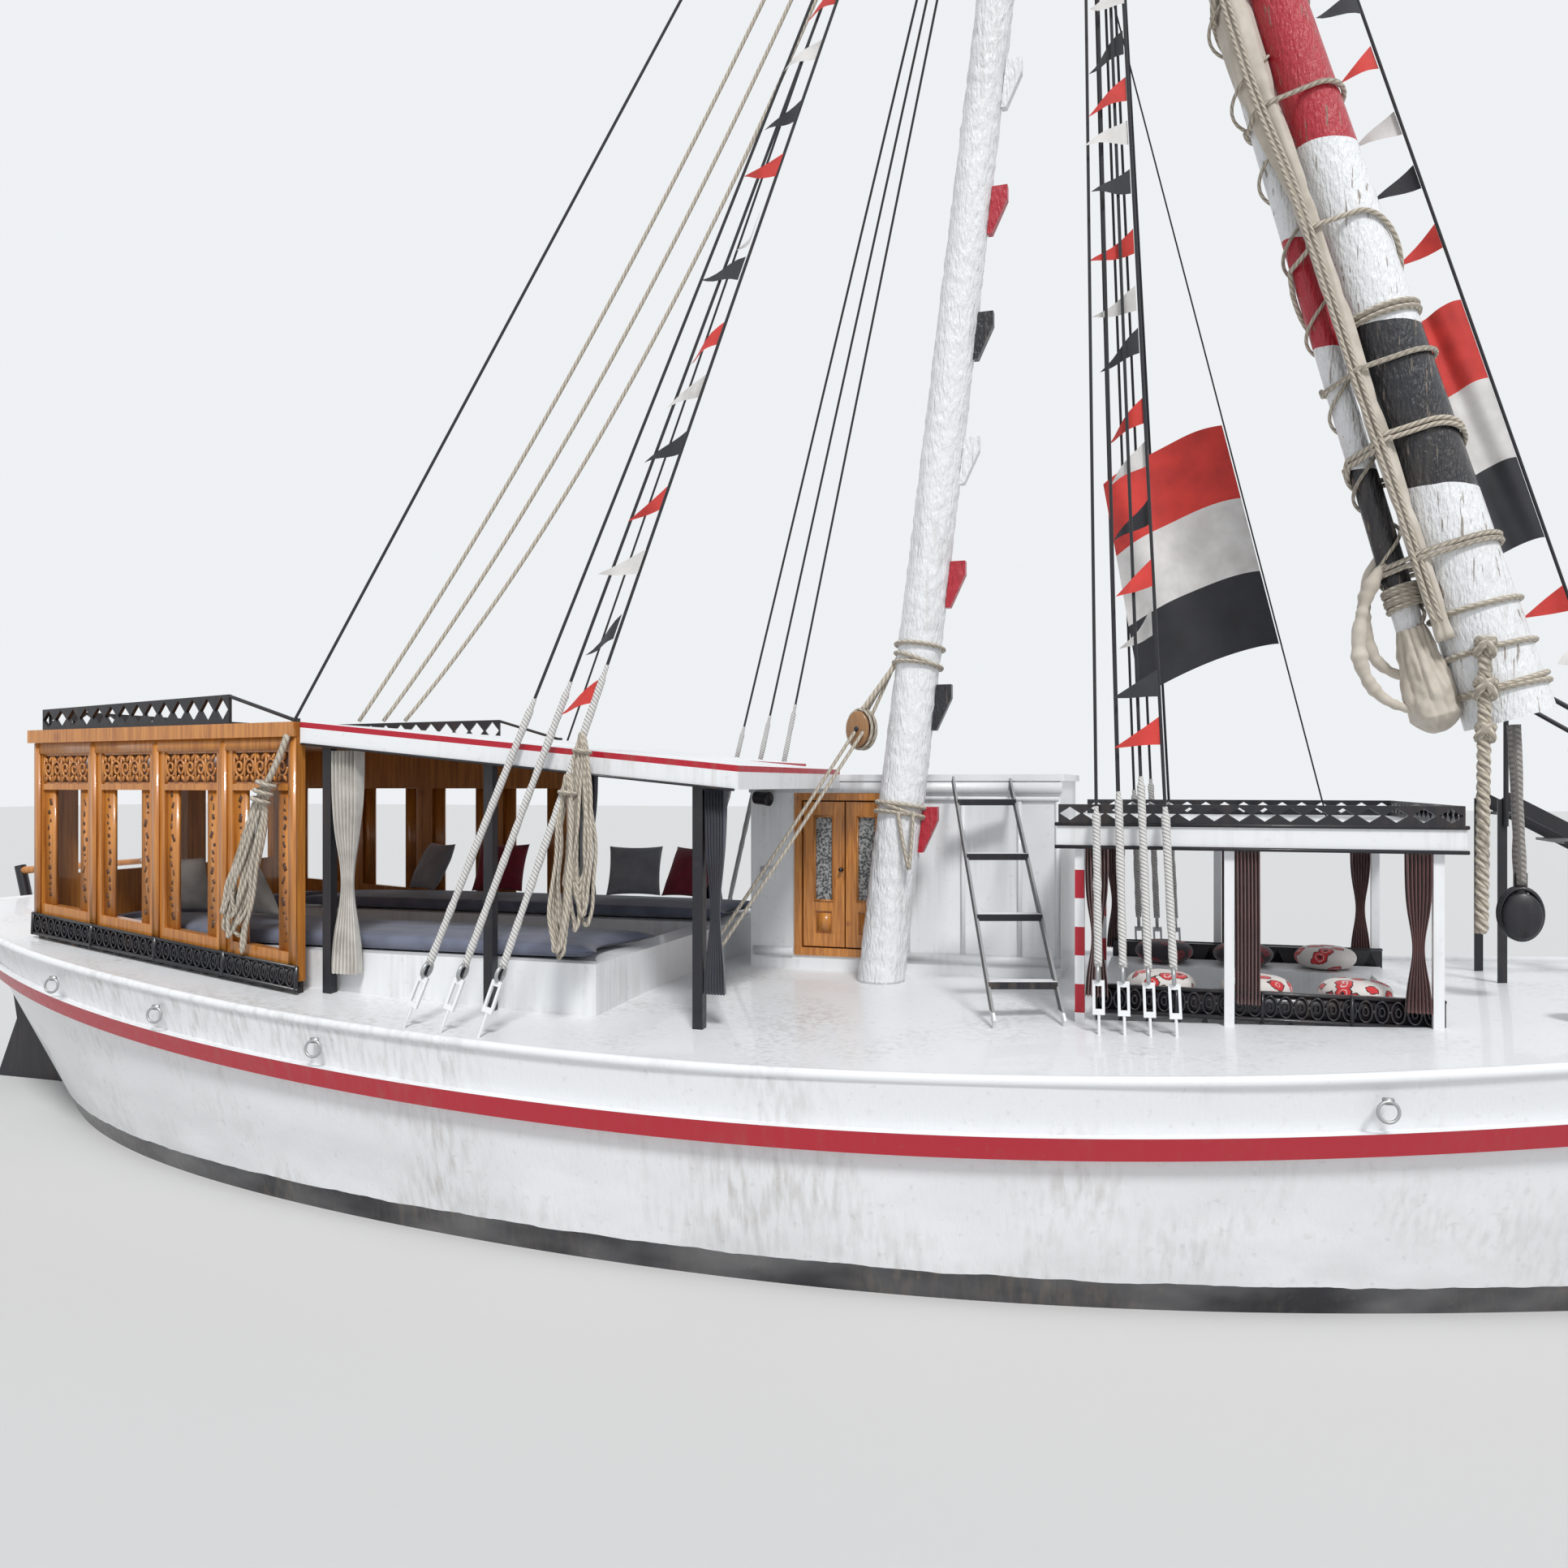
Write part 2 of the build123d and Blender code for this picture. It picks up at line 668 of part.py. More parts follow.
def mast_steps(pole):
    steps = []
    for index in range(STEP_COUNT):
        z = STEP_FIRST + index * STEP_PITCH
        front, top = mast_x(z) + mast_r(z), z + STEP_HIGH
        front_top = mast_x(top) + mast_r(top)
        points = [(front - 60, z), (front + 30, z), (front_top + STEP_OUT, top - 90),
                  (front_top + STEP_OUT, top), (front_top - 60, top)]
        steps.append(side_plate(points, STEP_WIDE) - pole)
    return steps


MAST_DIR = Vector(MAST_RAKE, 0, 1).normalized()
YARD_DIR = Vector(-sin(radians(YARD_LEAN)), 0, cos(radians(YARD_LEAN)))
COLLAR_R = 130
COLLAR_HALF = 170


def yard_point(s, aft=0, out=0):
    heel = Vector(HEEL_X, YARD_SIDE, HEEL_Z)
    back = Vector(-cos(radians(YARD_LEAN)), 0, -sin(radians(YARD_LEAN)))
    point = heel + YARD_DIR * s + back * aft + Vector(0, -out, 0)
    return (point.X, point.Y, point.Z)


SADDLE_Z = yard_point(SADDLE_AT)[2]


def along_mast(half, radius):
    middle = Vector(mast_x(SADDLE_Z), 0, SADDLE_Z)
    low, high = middle - MAST_DIR * half, middle + MAST_DIR * half
    return bar((low.X, low.Y, low.Z), (high.X, high.Y, high.Z), radius)


def mast_collar(pole):
    return along_mast(COLLAR_HALF, COLLAR_R) - pole


def masthead():
    z = MAST_TOP_Z
    cap = bar((mast_x(z), 0, z), (mast_x(z + 60), 0, z + 60), mast_r(z) + 25)
    cheeks = [block(mast_x(z) - 60, mast_x(z) + 110, s * 45 - 14, s * 45 + 14, z + 55, z + 260) for s in (-1, 1)]
    pin = bar((mast_x(z) + 40, -70, z + 180), (mast_x(z) + 40, 70, z + 180), 14)
    sheave = bar((mast_x(z) + 40, -22, z + 180), (mast_x(z) + 40, 22, z + 180), 75)
    return cap + cheeks[0] + cheeks[1] + pin + sheave


def yard():
    low = bar(yard_point(0), yard_point(YARD_MID_AT), YARD_HEEL_R, YARD_MID_R)
    return low + bar(yard_point(YARD_MID_AT), yard_point(YARD_LONG), YARD_MID_R, YARD_TIP_R)


def yard_saddle(pole):
    middle = Plane(origin=(mast_x(SADDLE_Z), 0, SADDLE_Z), x_dir=MAST_DIR.cross(Vector(0, 1, 0)) * -1, z_dir=MAST_DIR)
    body = middle * Pos(0, YARD_SIDE / 2, 0) * Box(140, -YARD_SIDE, 260)
    return body - along_mast(2 * COLLAR_HALF, COLLAR_R + SEAT_GAP) - pole


def boom():
    return bar(yard_point(BOOM_FROM, BOOM_OFF), yard_point(BOOM_FROM + BOOM_LONG, BOOM_OFF - 90), BOOM_R, 0.7 * BOOM_R)


def sail_roll(pole, spar):
    roll = bar(yard_point(500, 190, 215), yard_point(14800, 60, 95), ROLL_R, 0.45 * ROLL_R)
    return roll - pole - spar


def sail_bag(pole, spar):
    bag = bar(yard_point(60, BOOM_OFF + 20), yard_point(BOOM_FROM, BOOM_OFF + 5), BAG_R, 0.8 * BAG_R)
    return bag - pole - spar


# Stays and their turnbuckles
def stay_ends(x, y, z, drop):
    head = STAY_HEAD - drop
    foot, top = Vector(x, y, z), Vector(mast_x(head), 0, head)
    return foot, top, (top - foot).normalized()


def stays(rows, pole):
    made = []
    for row in rows:
        foot, top, way = stay_ends(*row)
        start = foot + way * (BUCKLE_LONG - 20)
        made += both(bar((start.X, start.Y, start.Z), (top.X, top.Y, top.Z), STAY_R) - pole)
    return made


def turnbuckles(solid, rows):
    made = []
    for row in rows:
        foot, top, way = stay_ends(*row)
        plane = Plane(origin=foot, x_dir=way.cross(Vector(0, 1, 0)), z_dir=way)
        frame = plane * Pos(0, 0, BUCKLE_LONG / 2 + 60) * Box(BUCKLE_WIDE, 20, BUCKLE_LONG - 160)
        frame -= plane * Pos(0, 0, BUCKLE_LONG / 2 + 60) * Box(BUCKLE_WIDE - 2 * BUCKLE_BAR, 30, BUCKLE_LONG - 220)
        shank = plane * Pos(0, 0, 70) * Cylinder(SHANK_R, 200)
        head = plane * Pos(0, 0, BUCKLE_LONG - 22) * Cylinder(SHANK_R, 60)
        trim = stay_trim(row)
        made += both(frame + (shank - solid) + head - trim)
    return made


def stay_trim(row):
    foot, top, way = stay_ends(*row)
    start = foot + way * (BUCKLE_LONG - 20)
    return bar((start.X, start.Y, start.Z), (top.X, top.Y, top.Z), STAY_R)


def forestay(solid, pole):
    head = STAY_HEAD + FORESTAY_RISE
    return bar((FORESTAY_X, 0, 1200), (mast_x(head), 0, head), STAY_R) - solid - pole


def backstays(pole):
    x, y, z = BACKSTAY_FOOT
    head = STAY_HEAD - BACKSTAY_DROP
    return both(bar((x, -y, z), (mast_x(head), 0, head), STAY_R) - pole - cabin_roof())


# Ladder: two stringers and flat treads, leaning on the deckhouse
def ladder(solid):
    foot, head = Vector(*LADDER_FOOT), Vector(*LADDER_HEAD)
    way = head - foot
    flat = Vector(way.X, way.Y, 0).normalized()
    along = Vector(0, 0, 1).cross(flat)
    plane = Plane(origin=foot, x_dir=along, z_dir=way.normalized())
    long = way.length
    thick, deep = LADDER_BAR
    bars = None
    for side in (-1, 1):
        rail = plane * Pos(side * LADDER_WIDE / 2, 0, long / 2) * Box(thick, deep, long)
        bars = rail if bars is None else bars + rail
    for index in range(TREADS):
        centre = foot + way * ((index + 0.55) / TREADS)
        level = Plane(origin=centre, x_dir=along, z_dir=(0, 0, 1))
        bars += level * Box(LADDER_WIDE, TREAD_DEEP, TREAD_THICK)
    x0, x1, y0, y1 = HOUSE
    return bars - solid - house_roof() - block(x0, x1, y0, y1, 0, HOUSE_TOP)


# Bow stair: two stringers, a landing and flat treads, with curved handrails
def bow_stair(solid):
    half = STAIR_WIDE / 2
    top, foot = (STAIR_TOP_X, STAIR_TOP_Z), (STAIR_FOOT_X, STAIR_FOOT_Z - 60)
    made = None
    for side in (-1, 1):
        y = STAIR_MIDDLE + side * half
        rail = side_plate([(top[0], top[1]), (foot[0], foot[1]), (foot[0] - 60, foot[1] - 60),
                           (top[0] - 60, top[1] - 60)], STRINGER_THICK, y)
        leg = block(top[0] - 60, top[0] - 60 + STAIR_BAR, y - STRINGER_THICK / 2, y + STRINGER_THICK / 2,
                    1200, top[1] - 40)
        made = rail + leg if made is None else made + rail + leg
    for index in range(STAIR_TREADS):
        share = (index + 0.5) / STAIR_TREADS
        x = top[0] + (foot[0] - top[0]) * share - 60
        z = top[1] + (foot[1] - top[1]) * share - 50
        made += block(x - 80, x + 80, STAIR_MIDDLE - half - 2, STAIR_MIDDLE + half + 2, z - 8, z + 8)
    return made - solid


def handrails():
    rails = []
    rise, half = HANDRAIL_RISE, STAIR_WIDE / 2
    for side in (-1, 1):
        y = STAIR_MIDDLE + side * (half + STRINGER_THICK / 2 + HANDRAIL_R)
        low = (STAIR_FOOT_X - 260, y, STAIR_FOOT_Z + 40)
        path = [(low[0], y, low[2] - 60), (low[0], y, low[2] + rise),
                (STAIR_TOP_X + 200, y, STAIR_TOP_Z + rise - 60), (STAIR_TOP_X - 20, y, STAIR_TOP_Z + rise - 60),
                (STAIR_TOP_X - 20, y, STAIR_TOP_Z - 200)]
        line = FilletPolyline(*path, radius=HANDRAIL_BEND)
        ring = Plane(origin=path[0], z_dir=(0, 0, 1)) * Circle(HANDRAIL_R)
        rails.append(sweep(ring, path=line))
    return rails


def bollard(solid):
    base = sheer(BOLLARD_X)
    place = Pos(BOLLARD_X, BOLLARD_Y, 0)
    sunk = 90
    body = place * Pos(0, 0, base + (BOLLARD_HIGH - sunk) / 2) * Cylinder(BOLLARD_R, BOLLARD_HIGH + sunk)
    body += place * Pos(0, 0, base + BOLLARD_HIGH + BOLLARD_CAP_THICK / 2) * Cylinder(BOLLARD_CAP_R, BOLLARD_CAP_THICK)
    return body - solid


# Flags: thin cloths on the forestay and on a halyard that starts at the canopy roof
def line_point(foot, top, z):
    share = (z - foot.Z) / (top.Z - foot.Z)
    return foot + (top - foot) * share


def halyard_ends():
    x, y = HALYARD_FOOT
    return Vector(x, y, CANOPY_TOP - 20), Vector(mast_x(HALYARD_HEAD), 0, HALYARD_HEAD)


def forestay_ends():
    head = STAY_HEAD + FORESTAY_RISE
    return Vector(FORESTAY_X, 0, 1200), Vector(mast_x(head), 0, head)


def flag_halyard(pole):
    foot, top = halyard_ends()
    return bar((foot.X, foot.Y, foot.Z), (top.X, top.Y, top.Z), HALYARD_R) - pole - canopy_roof()


def flag(ends, radius, low, high, long, droop):
    foot, top = ends
    way = (top - foot).normalized()
    gap = Vector(-(radius + SEAT_GAP) / hypot(way.Y, way.Z), 0, 0)
    a, b = line_point(foot, top, high) + gap, line_point(foot, top, low) + gap
    c, d = b + Vector(-long, 0, 0) - way * droop, a + Vector(-0.85 * long, 0, 0) - way * droop
    outline = Polyline(a, b, c, d, close=True)
    normal = way.cross(Vector(-1, 0, 0)).normalized()
    return extrude(Face(Wire(outline.edges())), amount=FLAG_THICK / 2, dir=normal, both=True)


# Curtains: one gathered cloth beside each post, drawn as a slim tapered solid
def curtain(x, y, top, low, wide):
    def ring(z, half):
        return Pos(x + wide / 2, y, z) * Rectangle(2 * half, 0.6 * wide)

    waist = top - 0.6 * (top - low)
    upper = loft([ring(waist, 0.3 * wide), ring(top, 0.5 * wide)])
    return upper + loft([ring(low, 0.38 * wide), ring(waist, 0.3 * wide)])


def curtains(rows):
    return [curtain(*row) for row in rows]


def roof_curtains(rows):
    y = ROOF_HALF - POST_IN
    made = []
    for x, side, wide in rows:
        start = x + POST_SIDE / 2 + SEAT_GAP
        made.append((start, side * y, roof_height(start + wide) - 10, AFT_SEAT[2] - 120, wide))
    return made


def canopy_curtains():
    y = CANOPY[2] - 30 - CANOPY_POST_SIDE / 2
    top, low = CANOPY_TOP - CANOPY_THICK - SEAT_GAP, COAMING_TOP - 60
    starts = [x + CANOPY_POST_SIDE / 2 + SEAT_GAP for x in CANOPY_POSTS[:2]]
    starts.append(CANOPY_POSTS[2] - CANOPY_POST_SIDE / 2 - SEAT_GAP - CURTAIN_WIDE)
    return [(start, side * y, top, low, CURTAIN_WIDE) for side in (-1, 1) for start in starts]


def build():
    os.makedirs("parts", exist_ok=True)
    solid = hull_block()
    pole = mast(None)
    spar = boom()
    spar_yard = yard()
    save(hull_shape(solid), "hull")
    save(rub_rail(solid), "rub_rail")
    save(keel(solid), "keel")
    save(rudder(), "rudder")
    save(gudgeons(keel(solid) + rub_rail(solid)), "rudder_gudgeons")
    save(tiller(), "tiller")
    side = cabin_side()
    save(side, "cabin_side_starboard")
    save(mirror(side, about=Plane.XZ), "cabin_side_port")
    skirt = cabin_skirt(solid)
    save(both(skirt), "cabin_skirt")
    save(cabin_back(solid), "cabin_back")
    save(cabin_roof(), "cabin_roof")
    save(roof_rail(), "cabin_roof_rail")
    roof = aft_roof()
    save(roof, "aft_roof")
    save(roof_posts(solid, roof), "aft_roof_posts")
    save(aft_benches(solid), "aft_benches")
    save(aft_mattresses(), "aft_mattresses")
    for name, wall in house_walls(solid).items():
        save(wall, name)
    save(house_roof(), "deckhouse_roof")
    save(door_frame(), "door_frame")
    for x, way, name in zip(HINGE_X, (-1, 1), ("aft", "fwd")):
        leaf, glass = door_leaf(x, way)
        save(leaf, f"door_leaf_{name}")
        save(glass, f"door_glass_{name}")
    save(canopy_roof(), "canopy_roof")
    save(canopy_posts(solid), "canopy_posts")
    rail, end = canopy_rail()
    save(both(rail) + [end], "canopy_rail")
    save(fwd_seats(solid), "fwd_seats")
    save(fwd_coaming(solid), "fwd_coaming")
    save(cushions(), "fwd_cushions")
    save(mast(solid), "mast")
    save(mast_steps(pole), "mast_steps")
    save(masthead(), "masthead")
    save(mast_collar(pole), "mast_collar")
    save(spar_yard, "yard")
    save(yard_saddle(spar_yard), "yard_saddle")
    save(spar, "boom")
    save(sail_roll(spar_yard, spar), "sail_roll")
    save(sail_bag(spar_yard, spar), "sail_bag")
    save(stays(SHROUDS[:3], pole), "shrouds_aft")
    save(stays(SHROUDS[3:], pole), "shrouds_fwd")
    save(turnbuckles(solid, SHROUDS), "turnbuckles")
    save(forestay(solid, pole), "forestay")
    save(backstays(pole), "backstays")
    save(flag_halyard(pole), "flag_halyard")
    save(flag(halyard_ends(), HALYARD_R, FLAG_LOW, FLAG_HIGH, FLAG_LONG, FLAG_DROOP), "flag_port")
    save(flag(forestay_ends(), STAY_R, BOW_FLAG_LOW, BOW_FLAG_HIGH, BOW_FLAG_LONG, BOW_FLAG_DROOP), "flag_bow")
    save(curtains(roof_curtains(WHITE_CURTAINS)), "curtain_white")
    save(curtains(roof_curtains(DARK_CURTAINS)), "curtains_dark")
    save(curtains(canopy_curtains()), "curtains_brown")
    save(ladder(solid), "ladder")
    save(bow_stair(solid), "bow_stair")
    save(handrails(), "bow_stair_handrails")
    save(bollard(solid), "bollard")


build()
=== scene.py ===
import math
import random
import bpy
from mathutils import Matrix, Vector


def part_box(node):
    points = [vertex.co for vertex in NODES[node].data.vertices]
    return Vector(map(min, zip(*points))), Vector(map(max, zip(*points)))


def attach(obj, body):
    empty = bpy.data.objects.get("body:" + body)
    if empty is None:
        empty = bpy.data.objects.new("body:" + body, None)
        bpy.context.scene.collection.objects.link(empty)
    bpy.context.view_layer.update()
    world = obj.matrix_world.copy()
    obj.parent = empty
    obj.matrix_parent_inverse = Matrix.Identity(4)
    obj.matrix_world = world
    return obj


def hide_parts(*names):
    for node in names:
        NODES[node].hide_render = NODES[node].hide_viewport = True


bl_info = {
    "name": "River felucca dressing",
    "version": (1, 0, 0),
    "blender": (4, 5, 0),
    "location": "View3D > Sidebar > Felucca",
    "description": "Finishes, cloth, rope work and small fittings for a river sailing boat",
    "category": "Object",
}

import bmesh
import bpy
from mathutils import Matrix, Vector, noise

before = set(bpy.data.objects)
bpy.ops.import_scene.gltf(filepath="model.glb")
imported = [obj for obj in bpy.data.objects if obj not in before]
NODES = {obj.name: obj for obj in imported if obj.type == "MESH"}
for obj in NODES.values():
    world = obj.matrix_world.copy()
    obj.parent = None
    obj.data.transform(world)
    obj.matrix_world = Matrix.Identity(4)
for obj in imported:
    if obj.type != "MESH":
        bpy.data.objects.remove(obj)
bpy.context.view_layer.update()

FORE = Vector((1, 0, 0))
PORT = Vector((0, 1, 0))
UP = Vector((0, 0, 1))
TURN = 2 * math.pi

# Places on the boat, as the CAD has them
WATER = 0.0
BOOT_TOP = 0.13
MAST_STEP = 1.1
MAST_TOP = 12.4
MAST_RAKE = 0.119
YARD_HEEL = Vector((3.9, -0.42, 2.85))
YARD_LEAN = math.radians(15.9)
YARD_UP = Vector((-math.sin(YARD_LEAN), 0, math.cos(YARD_LEAN)))
YARD_AFT = Vector((-math.cos(YARD_LEAN), 0, -math.sin(YARD_LEAN)))
YARD_OUT = Vector((0, -1, 0))
YARD_WAIST = 4.6
BOOM_START, BOOM_RUN = 0.45, 5.6
SAIL_START, SAIL_END = 0.5, 14.8
FORESTAY_FOOT, FORESTAY_HEAD = Vector((5.0, 0, 1.2)), 12.31
HALYARD_FOOT, HALYARD_HEAD = Vector((3.1, 0.6, 2.27)), 9.5
BUCKLE = 0.34
RUNNING_ROPE = 0.012
CABIN_FORE, CABIN_AFT = (-2.93, 1.74), (-5.54, 1.30)
CABIN_TAPER = 0.1686
ROOF_SLOPE = 0.0983
SILL, LINTEL = 1.355, 2.375
HOUSE_FACE = 0.340
CANOPY_MIDDLE, CANOPY_LONG, CANOPY_SIDE = 2.56, 2.02, 1.107
BOLLARD = (4.15, -0.9)

# Shrouds: foot along, out and up, and the drop of the head from the highest one
STAY_HEAD = 12.25
SHROUDS = (
    (-1.90, 2.13, 1.13, 0.66), (-1.65, 2.15, 1.13, 0.54), (-1.40, 2.16, 1.13, 0.42), (1.80, 1.33, 1.15, 0.36),
    (1.93, 1.33, 1.15, 0.24), (2.06, 1.33, 1.15, 0.12), (2.19, 1.33, 1.15, 0.00),
)

# Rolled sail along the yard: distance from the heel, aft, out, radius
ROLL = (
    (SAIL_START, 0.205, 0.165, 0.050), (3.0, 0.220, 0.150, 0.055), (3.9, 0.250, 0.070, 0.105),
    (5.6, 0.220, 0.060, 0.110), (6.8, 0.140, 0.130, 0.090), (SAIL_END, 0.060, 0.095, 0.043),
)

# Hull stations at the deck: x at the waterline, rake, half breadth
DECK_STATIONS = (
    (-6.55, -0.28, 0.62), (-5.90, -0.20, 1.24), (-4.70, -0.08, 1.79), (-2.60, 0.0, 2.19), (-0.10, 0.0, 2.32),
    (2.30, 0.0, 2.11), (4.30, 0.08, 1.57), (5.70, 0.24, 0.96), (6.50, 0.40, 0.19),
)

# Carried pieces under the finish that each one wears
DRESSING = {
    "topside": ("hull",),
    "rail": ("rub_rail",),
    "iron": ("keel", "rudder", "cabin_skirt", "cabin_roof_rail", "canopy_rail", "fwd_coaming",
             "aft_roof_posts", "bow_stair", "bow_stair_handrails", "masthead"),
    "white": ("deckhouse_wall_starboard", "deckhouse_wall_port", "deckhouse_wall_aft", "deckhouse_wall_fwd",
              "deckhouse_roof", "canopy_roof", "bollard", "fwd_seats", "aft_benches", "turnbuckles",
              "rudder_gudgeons", "mast_collar"),
    "roof": ("aft_roof",),
    "ladder": ("ladder",),
    "posts": ("canopy_posts",),
    "steps": ("mast_steps",),
    "yard": ("yard",),
    "boom": ("boom",),
    "wood": ("cabin_side_starboard", "cabin_side_port", "cabin_back", "cabin_roof", "tiller"),
    "door": ("door_frame", "door_leaf_aft", "door_leaf_fwd"),
    "oiled": ("yard_saddle",),
    "glass": ("door_glass_aft", "door_glass_fwd"),
    "wire": ("shrouds_aft", "shrouds_fwd", "forestay", "backstays", "flag_halyard"),
}


def angles(count):
    return [TURN * step / count for step in range(count)]


def round_way(first, second, angle):
    """Way that points angle round from first towards second"""
    return first * math.cos(angle) + second * math.sin(angle)


def mast_point(z, front=0.0):
    return Vector((0.3 + MAST_RAKE * (z - MAST_STEP) + front, 0, z))


def mast_radius(z):
    return 0.160 - 0.065 * (z - MAST_STEP) / (MAST_TOP - MAST_STEP)


def yard_point(s, aft=0.0, out=0.0):
    """Place s metres up the yard from its heel, moved aft and out"""
    return YARD_HEEL + YARD_UP * s + YARD_AFT * aft + YARD_OUT * out


def yard_radius(s):
    if s < YARD_WAIST:
        return 0.225 - 0.085 * s / YARD_WAIST
    return 0.140 - 0.080 * (s - YARD_WAIST) / 11.4


def boom_centre(s):
    return 0.33 - 0.09 * (s - BOOM_START) / BOOM_RUN


def table(rows, s):
    """Values between two rows of a short table, eased at both ends"""
    for low, high in zip(rows, rows[1:]):
        if low[0] <= s <= high[0]:
            share = (s - low[0]) / (high[0] - low[0])
            share = share * share * (3 - 2 * share)
            return [a + (b - a) * share for a, b in zip(low[1:], high[1:])]
    return list(rows[-1][1:])


def girth(s, extra):
    """Closed line round yard, boom and rolled sail at one place, as a hull of circles"""
    aft, out, radius = table(ROLL, min(max(s, SAIL_START), SAIL_END))
    circles = [(0.0, 0.0, yard_radius(s)), (aft, out, radius * 0.85)]
    if BOOM_START < s < BOOM_START + BOOM_RUN:
        circles.append((boom_centre(s), 0.0, 0.075 - 0.0225 * (s - BOOM_START) / BOOM_RUN))
    line = []
    for angle in angles(48):
        way = (math.cos(angle), math.sin(angle))
        aft, out, radius = max(circles, key=lambda c: c[0] * way[0] + c[1] * way[1] + c[2])
        line.append((aft + way[0] * (radius + extra), out + way[1] * (radius + extra)))
    return line


def stay_line(row, side):
    x, y, z, drop = row
    return Vector((x, side * y, z)), mast_point(STAY_HEAD - drop)


def forestay_line():
    return FORESTAY_FOOT, mast_point(FORESTAY_HEAD)


def at_height(line, z):
    """Place on a stay at a height over the water"""
    foot, head = line
    return foot + (head - foot) * ((z - foot.z) / (head.z - foot.z))


def bottom(u):
    """Lower edge of the cabin's side, which rises to the stern"""
    return 1.29 + 0.20 * u / 2.647


def coaming_foot(u):
    """Height of the forward well's coaming that stands clear of the deck, level all along"""
    return 1.305


def sheer(x):
    return 1.1 + 0.5 * (x / 7.0) ** 2


def deck_edge(x, side):
    """Point on the deck's edge by a smooth curve through the stations"""
    rows = [(row[0] + row[1] * sheer(row[0]), row[2], sheer(row[0])) for row in DECK_STATIONS]
    index = max([0] + [i for i in range(len(DECK_STATIONS) - 1) if DECK_STATIONS[i][0] <= x + 1e-9])
    low, high = DECK_STATIONS[index][0], DECK_STATIONS[index + 1][0]
    share = (x - low) / (high - low)
    p0, p1, p2, p3 = [Vector(rows[min(max(index + shift, 0), len(rows) - 1)]) for shift in (-1, 0, 1, 2)]
    curve = 0.5 * (2 * p1 + (p2 - p0) * share + (2 * p0 - 5 * p1 + 4 * p2 - p3) * share ** 2 +
                   (3 * p1 - p0 - 3 * p2 + p3) * share ** 3)
    return Vector((curve.x, side * (curve.y - 0.006), curve.z + 0.004))


def aft_row(x, side, wide):
    """Curtain under the aft roof: x, y, top, foot, width"""
    under = 2.88 - 0.28 * (x + 0.03 + wide + 2.93) / 2.87 - 0.13
    return (x + 0.0303, side * 1.63, under - 0.01, 1.34, wide)


# Curtains: node that each one stands for, finish, slot, rows
CURTAINS = (
    ("curtain_white", "white_cloth", "white_curtain", (aft_row(-2.78, -1, 0.20),)),
    ("curtains_dark", "dark_cloth", "dark_curtain",
     (aft_row(-2.78, 1, 0.15), aft_row(-1.65, 1, 0.20), aft_row(-0.33, -1, 0.13))),
    ("curtains_brown", "brown_cloth", "brown_curtain",
     tuple((x, side * 1.045, 2.1497, 1.34, 0.13) for side in (-1, 1) for x in (1.7053, 2.4753, 3.2847))),
)


# Settings that a user would change
def colour_setting(name, description, default):
    return bpy.props.FloatVectorProperty(name=name, description=description, subtype="COLOR", default=default)


class FeluccaPaint(bpy.types.PropertyGroup):
    """Paint and varnish colours"""
    white: colour_setting("White", "Topsides and deck", (0.80, 0.81, 0.82))
    red: colour_setting("Red", "Rail and spar bands", (0.42, 0.006, 0.022))
    black: colour_setting("Black", "Ironwork and spar bands", (0.007, 0.007, 0.011))
    varnish: colour_setting("Varnish", "Carved cabin sides and doors", (0.62, 0.25, 0.045))
    varnish_dark: colour_setting("Dark grain", "Dark lines of the grain", (0.30, 0.09, 0.015))


class FeluccaCloth(bpy.types.PropertyGroup):
    """Cloth colours and sizes"""
    canvas: colour_setting("Canvas", "Furled sail", (0.60, 0.545, 0.465))
    rope: colour_setting("Rope", "Running ropes", (0.56, 0.500, 0.410))
    pennant: bpy.props.FloatProperty(
        name="Pennant", description="Depth of one pennant", unit="LENGTH", default=0.26)
    curtain_folds: bpy.props.IntProperty(
        name="Folds", description="Folds in one curtain", default=7, min=3)


class FeluccaStage(bpy.types.PropertyGroup):
    """Camera and light"""
    eye: bpy.props.FloatVectorProperty(
        name="Eye", description="Camera place", subtype="TRANSLATION", default=(2.2, -7.9, 2.5))
    lens: bpy.props.FloatProperty(name="Lens", description="Focal length in millimetres", default=27.95)
    turn: bpy.props.FloatProperty(
        name="Turn", description="View direction, from +Y towards the stern", subtype="ANGLE",
        default=math.radians(18.0))
    lamp: bpy.props.FloatProperty(name="Lamp", description="Strength of the key light", default=2.3)
    sky: bpy.props.FloatProperty(name="Sky", description="Strength of the fill light", default=0.62)


# Node helpers
def add(tree, kind, **values):
    node = tree.nodes.new(kind)
    for key, value in values.items():
        if hasattr(node, key):
            setattr(node, key, value)
        else:
            feed(tree, node.inputs[key.replace("_", " ")], value)
    return node


def feed(tree, socket, value):
    """Links another node's output to a socket, or sets a number or a colour on it"""
    if hasattr(value, "is_output"):
        tree.links.new(value, socket)
    elif isinstance(value, (int, float)):
        socket.default_value = value
    else:
        socket.default_value = (*value[:3], 1.0)


def math_node(tree, operation, first, second=0.0):
    node = add(tree, "ShaderNodeMath", operation=operation)
    for socket, value in zip(node.inputs, (first, second)):
        feed(tree, socket, value)
    return node.outputs[0]


def plus(tree, first, second):
    return math_node(tree, "ADD", first, second)


def times(tree, first, second):
    return math_node(tree, "MULTIPLY", first, second)


